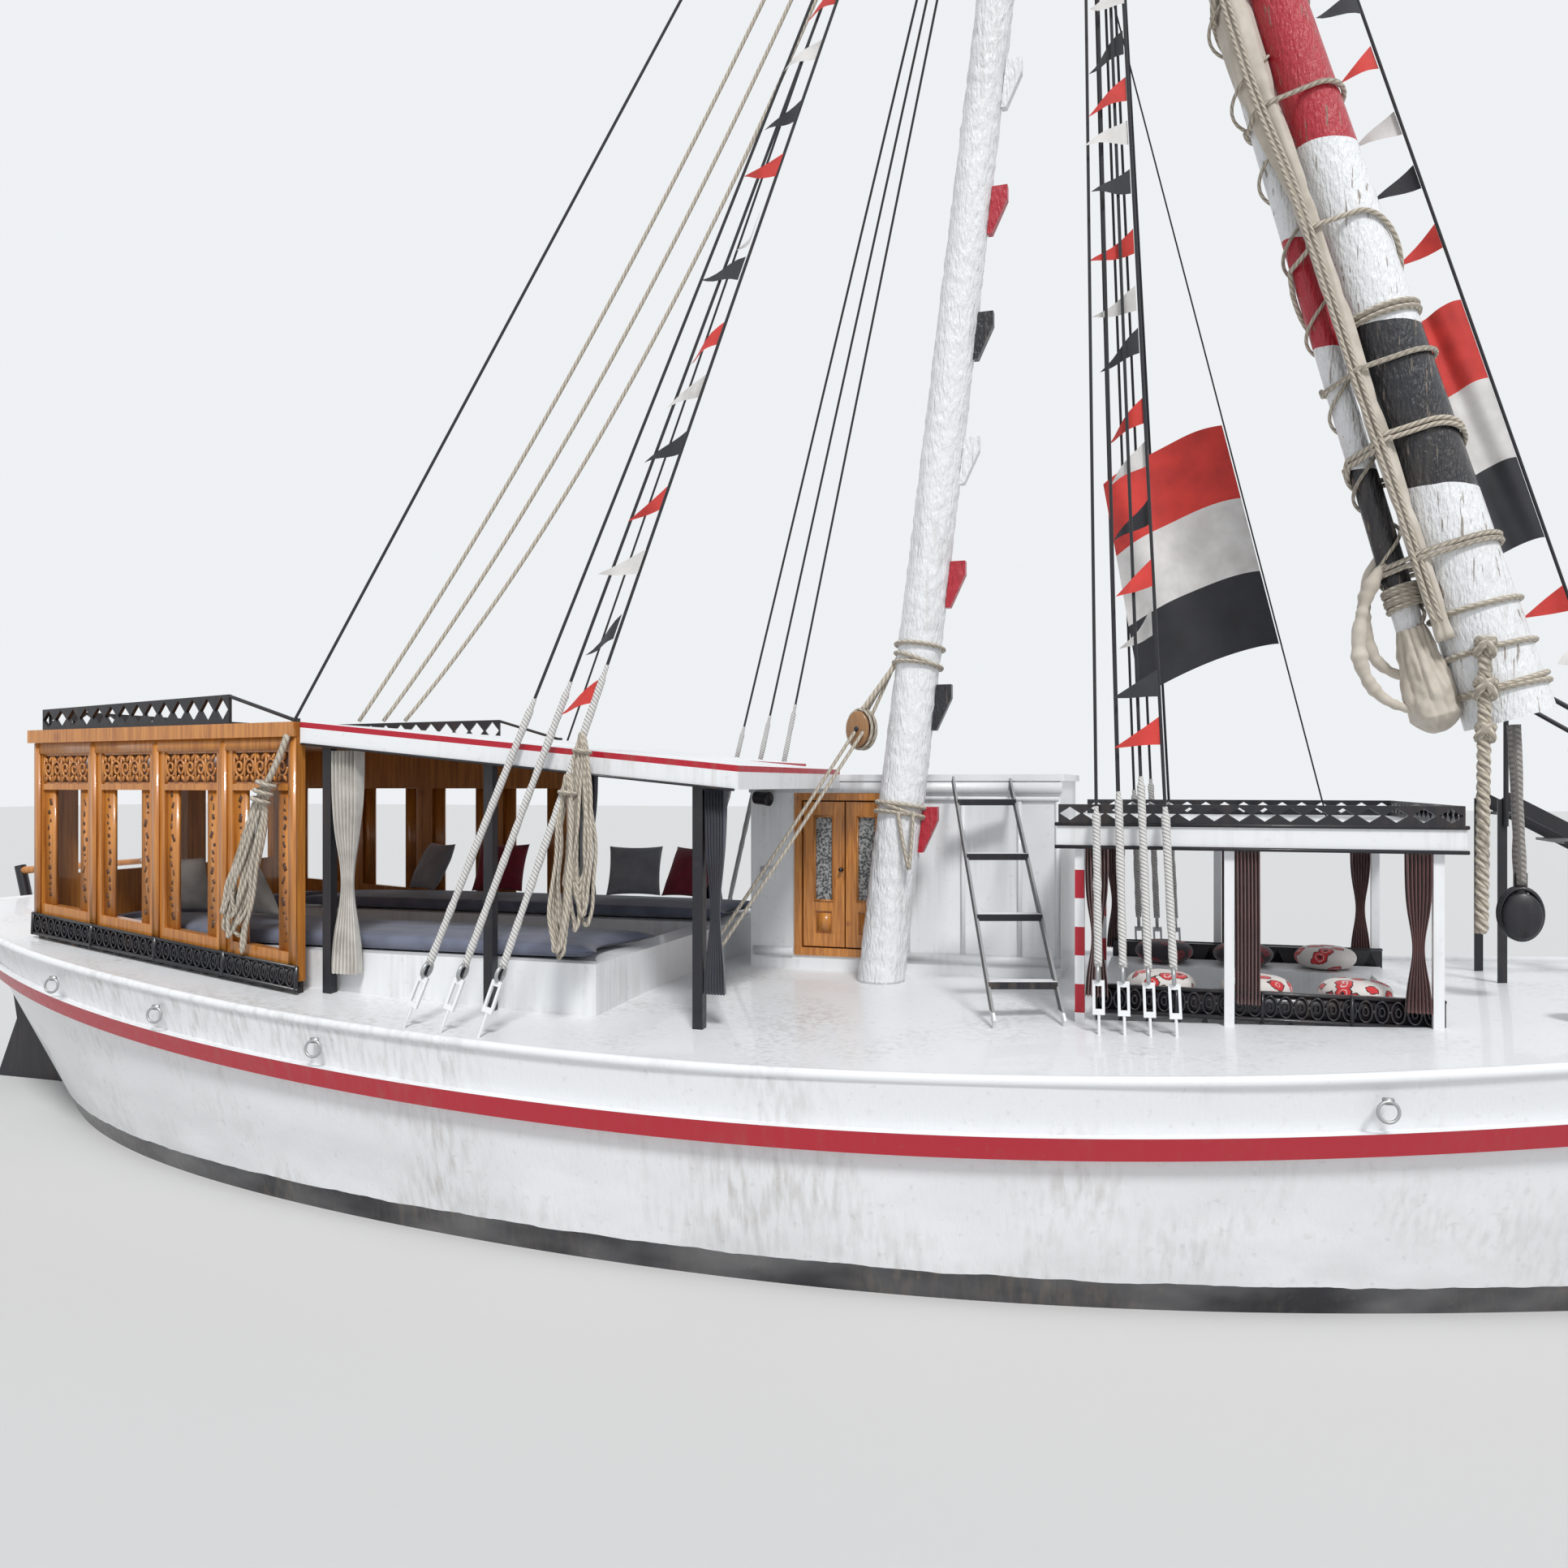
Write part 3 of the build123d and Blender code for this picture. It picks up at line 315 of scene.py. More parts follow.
def mix_colour(tree, factor, first, second):
    node = add(tree, "ShaderNodeMix", data_type="RGBA")
    sockets = (node.inputs["Factor"], node.inputs[6], node.inputs[7])
    for socket, value in zip(sockets, (factor, first, second)):
        feed(tree, socket, value)
    return node.outputs[2]


def coords(tree, kind="Object"):
    return add(tree, "ShaderNodeTexCoord").outputs[kind]


def split(tree, vector):
    node = add(tree, "ShaderNodeSeparateXYZ")
    tree.links.new(vector, node.inputs[0])
    return node.outputs


def coordinate(tree, axis, kind="Object"):
    return split(tree, coords(tree, kind))["XYZ".index(axis)]


def noise_at(tree, vector, scale, detail=4.0, stretch=None):
    if stretch:
        mapping = add(tree, "ShaderNodeMapping")
        mapping.inputs["Scale"].default_value = stretch
        tree.links.new(vector, mapping.inputs["Vector"])
        vector = mapping.outputs[0]
    return add(tree, "ShaderNodeTexNoise", Scale=scale, Detail=detail, Vector=vector).outputs["Fac"]


def cells_at(tree, vector, scale):
    return add(tree, "ShaderNodeTexVoronoi", Scale=scale, Vector=vector).outputs["Distance"]


def ramp(tree, value, low, high):
    return add(tree, "ShaderNodeMapRange", From_Min=low, From_Max=high, Value=value).outputs[0]


def steps(tree, value, stops):
    """Flat colours that change at marks along a value from 0 to 1"""
    colours = add(tree, "ShaderNodeValToRGB")
    colours.color_ramp.interpolation = "CONSTANT"
    marks = colours.color_ramp.elements
    while len(marks) < len(stops):
        marks.new(0.5)
    for mark, (at, colour) in zip(marks, stops):
        mark.position = at
        mark.color = (*colour[:3], 1.0)
    tree.links.new(value, colours.inputs["Fac"])
    return colours.outputs["Color"]


def bands(tree, value, low, high, stops):
    """Painted bands along a value, with a hand-painted edge"""
    wobble = times(tree, math_node(tree, "SUBTRACT", noise_at(tree, coords(tree), 5, 2), 0.5), 0.03)
    marks = [((at - low) / (high - low), colour) for at, colour in stops]
    return steps(tree, ramp(tree, plus(tree, value, wobble), low, high), marks)


GROUPS = {}
MATERIALS = {}


# Node groups that several materials share
def new_group(name, inputs, outputs, size):
    """Empty group with its sockets, and the object's coordinates times the input that sets the size"""
    tree = bpy.data.node_groups.new(name, "ShaderNodeTree")
    GROUPS[name] = tree
    for label, value in inputs:
        kind = "NodeSocketFloat" if isinstance(value, float) else "NodeSocketColor"
        socket = tree.interface.new_socket(label, in_out="INPUT", socket_type=kind)
        socket.default_value = value
    for label in outputs:
        kind = "NodeSocketColor" if label == "Color" else "NodeSocketFloat"
        tree.interface.new_socket(label, in_out="OUTPUT", socket_type=kind)
    start = tree.nodes.new("NodeGroupInput")
    end = tree.nodes.new("NodeGroupOutput")
    place = coords(tree)
    scaled = add(tree, "ShaderNodeVectorMath", operation="SCALE")
    tree.links.new(place, scaled.inputs[0])
    tree.links.new(start.outputs[size], scaled.inputs["Scale"])
    return tree, start.outputs, end.inputs, place, scaled.outputs[0]


def build_weathering():
    tree, start, end, _, place = new_group("Weathered Paint", (
        ("Color", (0.8, 0.8, 0.8, 1)), ("Dirt Color", (0.25, 0.2, 0.15, 1)), ("Dirt", 0.3), ("Brush", 0.5),
        ("Size", 1.0)), ("Color", "Roughness", "Height"), "Size")
    broad = noise_at(tree, place, 1.4, 6)
    fine = noise_at(tree, place, 22, 5)
    streak = noise_at(tree, place, 9, 3, (3.0, 3.0, 0.22))
    brush = noise_at(tree, place, 60, 3, (1.0, 1.0, 0.3))
    stain = times(tree, ramp(tree, broad, 0.45, 0.75), ramp(tree, streak, 0.42, 0.7))
    speck = times(tree, ramp(tree, fine, 0.62, 0.75), 0.35)
    amount = times(tree, plus(tree, stain, speck), start["Dirt"])
    feed(tree, end["Color"], mix_colour(tree, amount, start["Color"], start["Dirt Color"]))
    feed(tree, end["Roughness"], plus(tree, 0.28, times(tree, fine, 0.3)))
    feed(tree, end["Height"], times(tree, plus(tree, brush, broad), start["Brush"]))


def build_grain():
    tree, start, end, _, place = new_group("Wood Grain", (
        ("Light", (0.6, 0.3, 0.1, 1)), ("Dark", (0.3, 0.1, 0.03, 1)), ("Size", 1.0), ("Contrast", 0.7),
    ), ("Color", "Roughness", "Height"), "Size")
    lines = noise_at(tree, place, 5.0, 8, (9.0, 9.0, 0.5))
    clouds = noise_at(tree, place, 1.6, 5, (1.5, 1.5, 0.4))
    knot = math_node(tree, "SUBTRACT", 1.0, ramp(tree, cells_at(tree, place, 2.6), 0.03, 0.13))
    grain = plus(tree, ramp(tree, lines, 0.38, 0.66), times(tree, clouds, 0.5))
    grain = times(tree, plus(tree, grain, knot), start["Contrast"])
    feed(tree, end["Color"], mix_colour(tree, grain, start["Light"], start["Dark"]))
    feed(tree, end["Roughness"], plus(tree, 0.22, times(tree, lines, 0.25)))
    feed(tree, end["Height"], lines)


def build_weave():
    tree, start, end, place, scaled = new_group("Woven Cloth", (
        ("Color", (0.5, 0.5, 0.5, 1)), ("Shade", (0.3, 0.3, 0.3, 1)), ("Threads", 400.0),
    ), ("Color", "Height"), "Threads")
    x, y, z = split(tree, scaled)
    threads = times(tree, math_node(tree, "SINE", plus(tree, x, y)), math_node(tree, "SINE", z))
    patch = noise_at(tree, place, 7, 5)
    feed(tree, end["Color"], mix_colour(tree, ramp(tree, patch, 0.35, 0.8), start["Color"], start["Shade"]))
    feed(tree, end["Height"], plus(tree, times(tree, threads, 0.3), patch))


# Materials: a group's colour and height go into a Principled shader of the material's own
def paint_settings():
    return bpy.context.scene.felucca_paint


def cloth_settings():
    return bpy.context.scene.felucca_cloth


def start_material(key, name, roughness=0.5, metallic=0.0, coat=0.0, sheen=0.0):
    material = bpy.data.materials.new(name)
    material.use_nodes = True
    tree = material.node_tree
    shader = tree.nodes["Principled BSDF"].inputs
    for label, value in (("Roughness", roughness), ("Metallic", metallic), ("Coat Weight", coat),
                         ("Sheen Weight", sheen)):
        shader[label].default_value = value
    MATERIALS[key] = material
    return tree, shader


def bump(tree, shader, height, strength, distance):
    node = add(tree, "ShaderNodeBump", Strength=strength, Distance=distance, Height=height)
    feed(tree, shader["Normal"], node.outputs[0])


def group_node(tree, shader, name, strength, distance, **values):
    """Adds a group and plugs its outputs into the shader"""
    node = add(tree, "ShaderNodeGroup", node_tree=GROUPS[name], **values)
    for label in ("Color", "Roughness"):
        if label in node.outputs:
            feed(tree, shader["Base Color" if label == "Color" else label], node.outputs[label])
    bump(tree, shader, node.outputs["Height"], strength, distance)


def finish_paint(tree, shader, colour, dirt=0.3, brush=0.5, strength=0.3, distance=0.004, size=1.0,
                 dirt_colour=(0.22, 0.17, 0.12)):
    group_node(tree, shader, "Weathered Paint", strength, distance, Color=colour, Dirt_Color=dirt_colour,
               Dirt=dirt, Brush=brush, Size=size)


def white_paint(key, name, dirt=0.35, strength=0.25, brush=0.5):
    tree, shader = start_material(key, name, 0.35, coat=0.15)
    finish_paint(tree, shader, paint_settings().white, dirt, brush, strength)


def hull_paint():
    tree, shader = start_material("topside", "Topside Paint", 0.35, coat=0.25)
    paint = paint_settings()
    colour = bands(tree, coordinate(tree, "Z"), -1.0, 2.0, ((-1.0, paint.black), (BOOT_TOP, paint.white)))
    # Painted shade and painted reflected light: the hull turns grey towards the waterline, broken by a ripple
    # pattern of lighter patches like light thrown up by the water
    ripple = ramp(tree, noise_at(tree, coords(tree), 2.2, 3, (0.7, 0.7, 1.6)), 0.35, 0.7)
    painted_shade_low = times(tree, ramp(tree, coordinate(tree, "Z"), 0.95, 0.2), 0.3)
    colour = mix_colour(tree, times(tree, ripple, painted_shade_low), colour, (0.36, 0.36, 0.36))
    finish_paint(tree, shader, colour, 0.5, 0.8, 0.4, 0.006)


def rail_paint():
    """Red with a white top"""
    tree, shader = start_material("rail", "Rail Paint", 0.3, coat=0.3)
    paint = paint_settings()
    top = ramp(tree, coordinate(tree, "Z", "Normal"), 0.4, 0.6)
    finish_paint(tree, shader, mix_colour(tree, top, paint.red, paint.white), 0.35)


def spar_paint(key, name, low, high, stops, crack=0.8):
    tree, shader = start_material(key, name, 0.3, coat=0.35)
    colour = bands(tree, coordinate(tree, "Z"), low, high, stops)
    cracks = ramp(tree, noise_at(tree, coords(tree), 7.0, 6, (6.0, 6.0, 0.35)), 0.63, 0.66)
    colour = mix_colour(tree, times(tree, cracks, crack), colour, (0.20, 0.15, 0.11))
    finish_paint(tree, shader, colour, 0.25, 1.6, 0.8, 0.014)


def ladder_paint():
    """Black with white treads and white feet"""
    tree, shader = start_material("ladder", "Ladder Paint", 0.35)
    paint = paint_settings()
    top = ramp(tree, coordinate(tree, "Z", "Normal"), 0.7, 0.9)
    colour = mix_colour(tree, top, paint.black, paint.white)
    foot = math_node(tree, "LESS_THAN", coordinate(tree, "Z"), 1.26)
    finish_paint(tree, shader, mix_colour(tree, foot, colour, paint.white), 0.45, 0.6)


def iron_paint():
    tree, shader = start_material("iron", "Black Ironwork", 0.4, coat=0.2)
    finish_paint(tree, shader, paint_settings().black, 0.25, 0.6, 0.3, 0.002, 1.0, (0.16, 0.09, 0.05))


def steel():
    tree, shader = start_material("steel", "Galvanised Steel", 0.45, metallic=0.7)
    finish_paint(tree, shader, (0.42, 0.43, 0.43), 0.5, 0.6, 0.3, 0.001, 6.0, (0.20, 0.11, 0.06))


def post_paint():
    """Canopy posts: the aftermost pair is striped red and white"""
    tree, shader = start_material("posts", "Canopy Post Paint", 0.35)
    paint = paint_settings()
    phase = math_node(tree, "FRACT", times(tree, coordinate(tree, "Z"), 3.2))
    stripe = times(tree, math_node(tree, "LESS_THAN", phase, 0.5),
                   math_node(tree, "LESS_THAN", coordinate(tree, "X"), 1.8))
    finish_paint(tree, shader, mix_colour(tree, stripe, paint.white, paint.red), 0.3, 0.4, 0.2)


def roof_paint():
    """Aft roof: white with a red stripe along the top of its edge, and painted blue-grey shade on its
    underside
    """
    tree, shader = start_material("roof", "Aft Roof Paint", 0.35)
    paint = paint_settings()
    level = plus(tree, coordinate(tree, "Z"), times(tree, coordinate(tree, "X"), ROOF_SLOPE))
    red = math_node(tree, "GREATER_THAN", level, 2.560)
    normal = coordinate(tree, "Z", "Normal")
    side = math_node(tree, "LESS_THAN", math_node(tree, "ABSOLUTE", normal), 0.5)
    colour = mix_colour(tree, times(tree, red, side), paint.white, paint.red)
    # Faces that point down take a blue-grey: painted shade under the roof
    colour = mix_colour(tree, math_node(tree, "LESS_THAN", normal, -0.5), colour, (0.30, 0.32, 0.36))
    finish_paint(tree, shader, colour, 0.35, 0.5, 0.2)


def wood(key, name, light, dark, size=1.0, coat=0.5):
    tree, shader = start_material(key, name, 0.3, coat=coat)
    group_node(tree, shader, "Wood Grain", 0.25, 0.002, Light=light, Dark=dark, Size=size, Contrast=0.62)


def glass():
    """Pale pebbles on dark glass"""
    tree, shader = start_material("glass", "Pebbled Glass", 0.25)
    place = coords(tree)
    shader["Transmission Weight"].default_value = 0.25
    pebbles = ramp(tree, noise_at(tree, place, 62, 2), 0.40, 0.62)
    feed(tree, shader["Base Color"], mix_colour(tree, pebbles, (0.085, 0.095, 0.10), (0.56, 0.57, 0.56)))
    bump(tree, shader, cells_at(tree, place, 90), 0.7, 0.003)


def cloth(key, name, colour, shade, threads=900.0, sheen=0.3, roughness=0.85):
    tree, shader = start_material(key, name, roughness, sheen=sheen)
    group_node(tree, shader, "Woven Cloth", 0.4, 0.003, Color=colour, Shade=shade, Threads=threads)


def floral(key, name, ground, petal):
    """Round flowers with dark hearts, in a layout of its own"""
    tree, shader = start_material(key, name, 0.8, sheen=0.3)
    place = coords(tree)
    petals = plus(tree, cells_at(tree, place, 10.0), times(tree, noise_at(tree, place, 28, 3), 0.35))
    feed(tree, shader["Base Color"], steps(tree, petals, (
        (0.0, (0.02, 0.01, 0.01)), (0.27, petal), (0.39, ground), (0.42, petal), (0.60, (0.03, 0.01, 0.01)),
        (0.65, ground))))
    bump(tree, shader, petals, 0.2, 0.003)


def rope_material(key, name, colour, shade, pitch=0.045):
    """Laid rope: strands run round the tube by its own unwrapped length"""
    tree, shader = start_material(key, name, 0.9, sheen=0.2)
    run, round_share, _ = split(tree, coords(tree, "UV"))
    turns = plus(tree, math_node(tree, "DIVIDE", run, pitch), times(tree, round_share, 3.0))
    strand = math_node(tree, "ABSOLUTE", math_node(tree, "SINE", times(tree, turns, math.pi)))
    # The grooves between strands take the shade colour: painted shade, with random tone noise on top
    tone = plus(tree, times(tree, strand, 0.75), times(tree, noise_at(tree, coords(tree), 60, 4), 0.4))
    feed(tree, shader["Base Color"], mix_colour(tree, ramp(tree, tone, 0.1, 0.9), shade, colour))
    bump(tree, shader, strand, 0.8, 0.006)


def make_materials():
    paint, fabric = paint_settings(), cloth_settings()
    white, red, black = paint.white, paint.red, paint.black
    for build in (build_weathering, build_grain, build_weave, hull_paint, rail_paint, roof_paint, post_paint,
                  ladder_paint, iron_paint, steel, glass):
        build()
    white_paint("white", "White Boat Paint")
    white_paint("mast", "Wrapped Mast Paint", 0.5, 1.0, 4.0)
    spar_paint("yard", "Yard Bands", 2.0, 20.0, (
        (2.0, white), (4.05, black), (5.02, white), (6.05, red), (6.98, white), (9.2, black), (10.2, white),
        (11.6, red), (12.5, white), (14.5, black), (15.4, white)))
    spar_paint("boom", "Boom Bands", 2.0, 20.0, (
        (2.0, white), (3.50, black), (4.22, white), (4.90, red), (5.55, white), (7.4, black), (8.1, white)))
    order = (red, black, red, white, black, red, white, black, red, white, black, red)
    lowest, apart = 1.9, 0.8
    marks = [(lowest + apart * i, colour) for i, colour in enumerate(order)]
    spar_paint("steps", "Step Paint", lowest, 12.3, marks, 0.4)
    for row in (
            ("wood", "Varnished Wood", paint.varnish, paint.varnish_dark),
            ("door", "Door Wood", (0.66, 0.27, 0.05), (0.28, 0.08, 0.015), 1.6),
            ("oiled", "Oiled Wood", (0.16, 0.08, 0.035), (0.05, 0.025, 0.012), 2.0, 0.1),
            ("block_wood", "Block Wood", (0.38, 0.20, 0.08), (0.16, 0.07, 0.03), 6.0, 0.2),
            # Dark wood for the deep slots in the carving: painted shade
            ("carved", "Carved Shadow", (0.13, 0.050, 0.018), (0.05, 0.018, 0.008), 2.5, 0.0)):
        wood(*row)
    for row in (
            ("canvas", "Sail Canvas", fabric.canvas, (0.40, 0.35, 0.28), 700.0),
            ("white_cloth", "White Curtain Cloth", (0.66, 0.63, 0.58), (0.36, 0.33, 0.29)),
            ("dark_cloth", "Dark Curtain Cloth", (0.035, 0.035, 0.060), (0.015, 0.015, 0.025)),
            ("brown_cloth", "Brown Curtain Cloth", (0.25, 0.112, 0.106), (0.14, 0.056, 0.054), 900.0, 0.3,
             0.6),
            ("mattress", "Mattress Cloth", (0.165, 0.180, 0.245), (0.095, 0.105, 0.150), 600.0),
            ("grey_cloth", "Grey Cushion Cloth", (0.34, 0.34, 0.36), (0.22, 0.22, 0.25)),
            ("red_cloth", "Red Cushion Cloth", (0.28, 0.015, 0.035), (0.14, 0.008, 0.02)),
            ("flag_red", "Flag Red", (0.62, 0.035, 0.025), (0.40, 0.02, 0.015), 1400.0, 0.2, 0.7),
            ("flag_white", "Flag White", (0.72, 0.70, 0.68), (0.52, 0.50, 0.48), 1400.0, 0.2, 0.7),
            ("flag_black", "Flag Black", (0.018, 0.018, 0.025), (0.008, 0.008, 0.010), 1400.0, 0.2, 0.7)):
        cloth(*row)
    floral("floral", "Floral Cloth", (0.70, 0.66, 0.62), (0.58, 0.025, 0.03))
    floral("floral_dark", "Dark Floral Cloth", (0.030, 0.022, 0.028), (0.22, 0.02, 0.03))
    for row in (
            ("rope", "Laid Rope", fabric.rope, (0.27, 0.225, 0.17)),
            ("served", "Served Wire", (0.68, 0.67, 0.65), (0.38, 0.36, 0.34), 0.02),
            ("wire", "Dark Wire", (0.05, 0.05, 0.055), (0.015, 0.015, 0.018), 0.03),
            ("strop", "Tarred Strop", (0.30, 0.28, 0.26), (0.12, 0.11, 0.10), 0.03),
            ("orange_rope", "Orange Rope", (0.75, 0.27, 0.05), (0.35, 0.10, 0.02))):
        rope_material(*row)


# Mesh helpers
def skin(rings, sides, flip=False, caps=True):
    """Faces between rings of verts, with a flat face on each end"""
    faces = []
    for ring in range(rings - 1):
        for step in range(sides):
            a, b = ring * sides + step, ring * sides + (step + 1) % sides
            faces.append((a, a + sides, b + sides, b) if flip else (a, b, b + sides, a + sides))
    if caps:
        first, last = range(sides), range((rings - 1) * sides, rings * sides)
        faces += [tuple(first), tuple(reversed(last))] if flip else [tuple(reversed(first)), tuple(last)]
    return faces


def grid(across, down):
    """Faces of a sheet, row by row"""
    starts = [row * (across + 1) + column for row in range(down) for column in range(across)]
    return [(a, a + across + 1, a + across + 2, a + 1) for a in starts]


def between(a, b, count, sag=0.0):
    """Points from a to b, hanging by sag in the middle"""
    a, b = Vector(a), Vector(b)
    points = []
    for index in range(count + 1):
        share = index / count
        point = a.lerp(b, share)
        point.z -= sag * 4 * share * (1 - share)
        points.append(point)
    return points


def make_piece(name, verts, faces, material, body="hull", uvs=None, slots=None):
    mesh = bpy.data.meshes.new(name)
    mesh.from_pydata([tuple(v) for v in verts], [], faces)
    mesh.update()
    for entry in material if isinstance(material, tuple) else (material,):
        mesh.materials.append(MATERIALS[entry])
    if slots:
        for polygon, index in zip(mesh.polygons, slots):
            polygon.material_index = index
    if uvs:
        layer = mesh.uv_layers.new(name="UVMap")
        for loop in mesh.loops:
            layer.data[loop.index].uv = uvs[loop.vertex_index]
    for polygon in mesh.polygons:
        polygon.use_smooth = True
    piece = bpy.data.objects.new(name, mesh)
    bpy.context.scene.collection.objects.link(piece)
    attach(piece, body)
    return piece


def weld(piece):
    """Joins verts that stand in one place"""
    work = bmesh.new()
    work.from_mesh(piece.data)
    bmesh.ops.remove_doubles(work, verts=work.verts, dist=0.0005)
    work.to_mesh(piece.data)
    work.free()


class Builder:
    """Gathers verts, faces and unwrapped lengths of several tubes, slabs and rings for one piece"""

    def __init__(self):
        self.verts, self.faces, self.uvs, self.slots = [], [], [], []

    def put(self, verts, faces, uvs=None, slot=0):
        base = len(self.verts)
        self.verts += [Vector(v) for v in verts]
        self.uvs += uvs or [(0.0, 0.0)] * len(verts)
        self.faces += [tuple(base + i for i in face) for face in faces]
        self.slots += [slot] * len(faces)

    def tube(self, path, radius, sides=8):
        points = [Vector(p) for p in path]
        radii = radius if isinstance(radius, (list, tuple)) else [radius] * len(points)
        tangent = (points[1] - points[0]).normalized()
        side = tangent.orthogonal().normalized()
        verts, uvs, run = [], [], 0.0
        for index, point in enumerate(points):
            before = points[max(index - 1, 0)]
            way = points[min(index + 1, len(points) - 1)] - before
            way = way.normalized() if way.length > 1e-9 else tangent
            side = (side - way * side.dot(way)).normalized()
            other = way.cross(side)
            run += (point - before).length
            verts += [point + round_way(side, other, angle) * radii[index] for angle in angles(sides)]
            uvs += [(run, step / sides) for step in range(sides)]
        self.put(verts, skin(len(points), sides), uvs)

    def ring(self, centre, normal, radius, thick, count=24, sides=8, stretch=1.0, along=None):
        """A hoop, round or stretched along one line"""
        normal = Vector(normal).normalized()
        first = Vector(along).normalized() if along is not None else normal.orthogonal().normalized()
        second = normal.cross(first)
        verts, uvs, faces = [], [], []
        for index, angle in enumerate(angles(count)):
            place = Vector(centre) + (first * math.cos(angle) * stretch + second * math.sin(angle)) * radius
            outward = round_way(first, second, angle).normalized()
            verts += [place + round_way(outward, normal, turn) * thick for turn in angles(sides)]
            after = (index + 1) % count * sides
            for step in range(sides):
                uvs.append((radius * angle, step / sides))
                far = (step + 1) % sides
                faces.append((index * sides + step, after + step, after + far, index * sides + far))
        self.put(verts, faces, uvs)

    def slab(self, centre, size, bevel=0.004, axes=(FORE, PORT, UP)):
        """A box with chamfered edges"""
        bevel = min([bevel] + [0.45 * value / 2 for value in size])
        work = bmesh.new()
        bmesh.ops.create_cube(work, size=1.0)
        for vert in work.verts:
            vert.co = Vector([vert.co[i] * size[i] for i in range(3)])
        bmesh.ops.bevel(work, geom=work.edges[:], offset=bevel, segments=2, affect="EDGES")
        verts = []
        for vert in work.verts:
            verts.append(Vector(centre) + sum((axes[i] * vert.co[i] for i in range(3)), Vector()))
        faces = [tuple(v.index for v in face.verts) for face in work.faces]
        work.free()
        self.put(verts, faces)

    def lathe(self, origin, axis, profile, sides=24):
        """A turned form: each row of the profile is a distance along the axis and a radius"""
        axis = Vector(axis).normalized()
        first = axis.orthogonal().normalized()
        second = axis.cross(first)
        verts = []
        for along, radius in profile:
            middle = Vector(origin) + axis * along
            verts += [middle + round_way(first, second, angle) * radius for angle in angles(sides)]
        self.put(verts, skin(len(profile), sides))

    def cheeks(self, centre, axle, places, half, radius, stretch):
        """Side plates of a block: discs on the axle, stretched upwards"""
        near, rim = half / 2 - 0.002, radius + 0.008
        profile = [(-half, 0.03), (-half, radius), (-near, rim), (near, rim), (half, radius), (half, 0.03)]
        for place in places:
            plate = Builder()
            plate.lathe(centre + axle * place, axle, profile, 32)
            tall = [Vector((v.x, v.y, centre.z + (v.z - centre.z) * stretch)) for v in plate.verts]
            self.put(tall, plate.faces)

    def piece(self, name, material, body="hull", slot=None):
        return make_piece(name, self.verts, self.faces, material, body, self.uvs, self.slots)


class FELUCCA_OT_finishes(bpy.types.Operator):
    """Makes every finish and puts it on the carried pieces"""
    bl_idname = "felucca.finishes"
    bl_label = "Finishes"

    def execute(self, context):
        make_materials()
        for material, names in DRESSING.items():
            for name in names:
                data = NODES[name].data
                data.materials.clear()
                data.materials.append(MATERIALS[material])
        return {"FINISHED"}


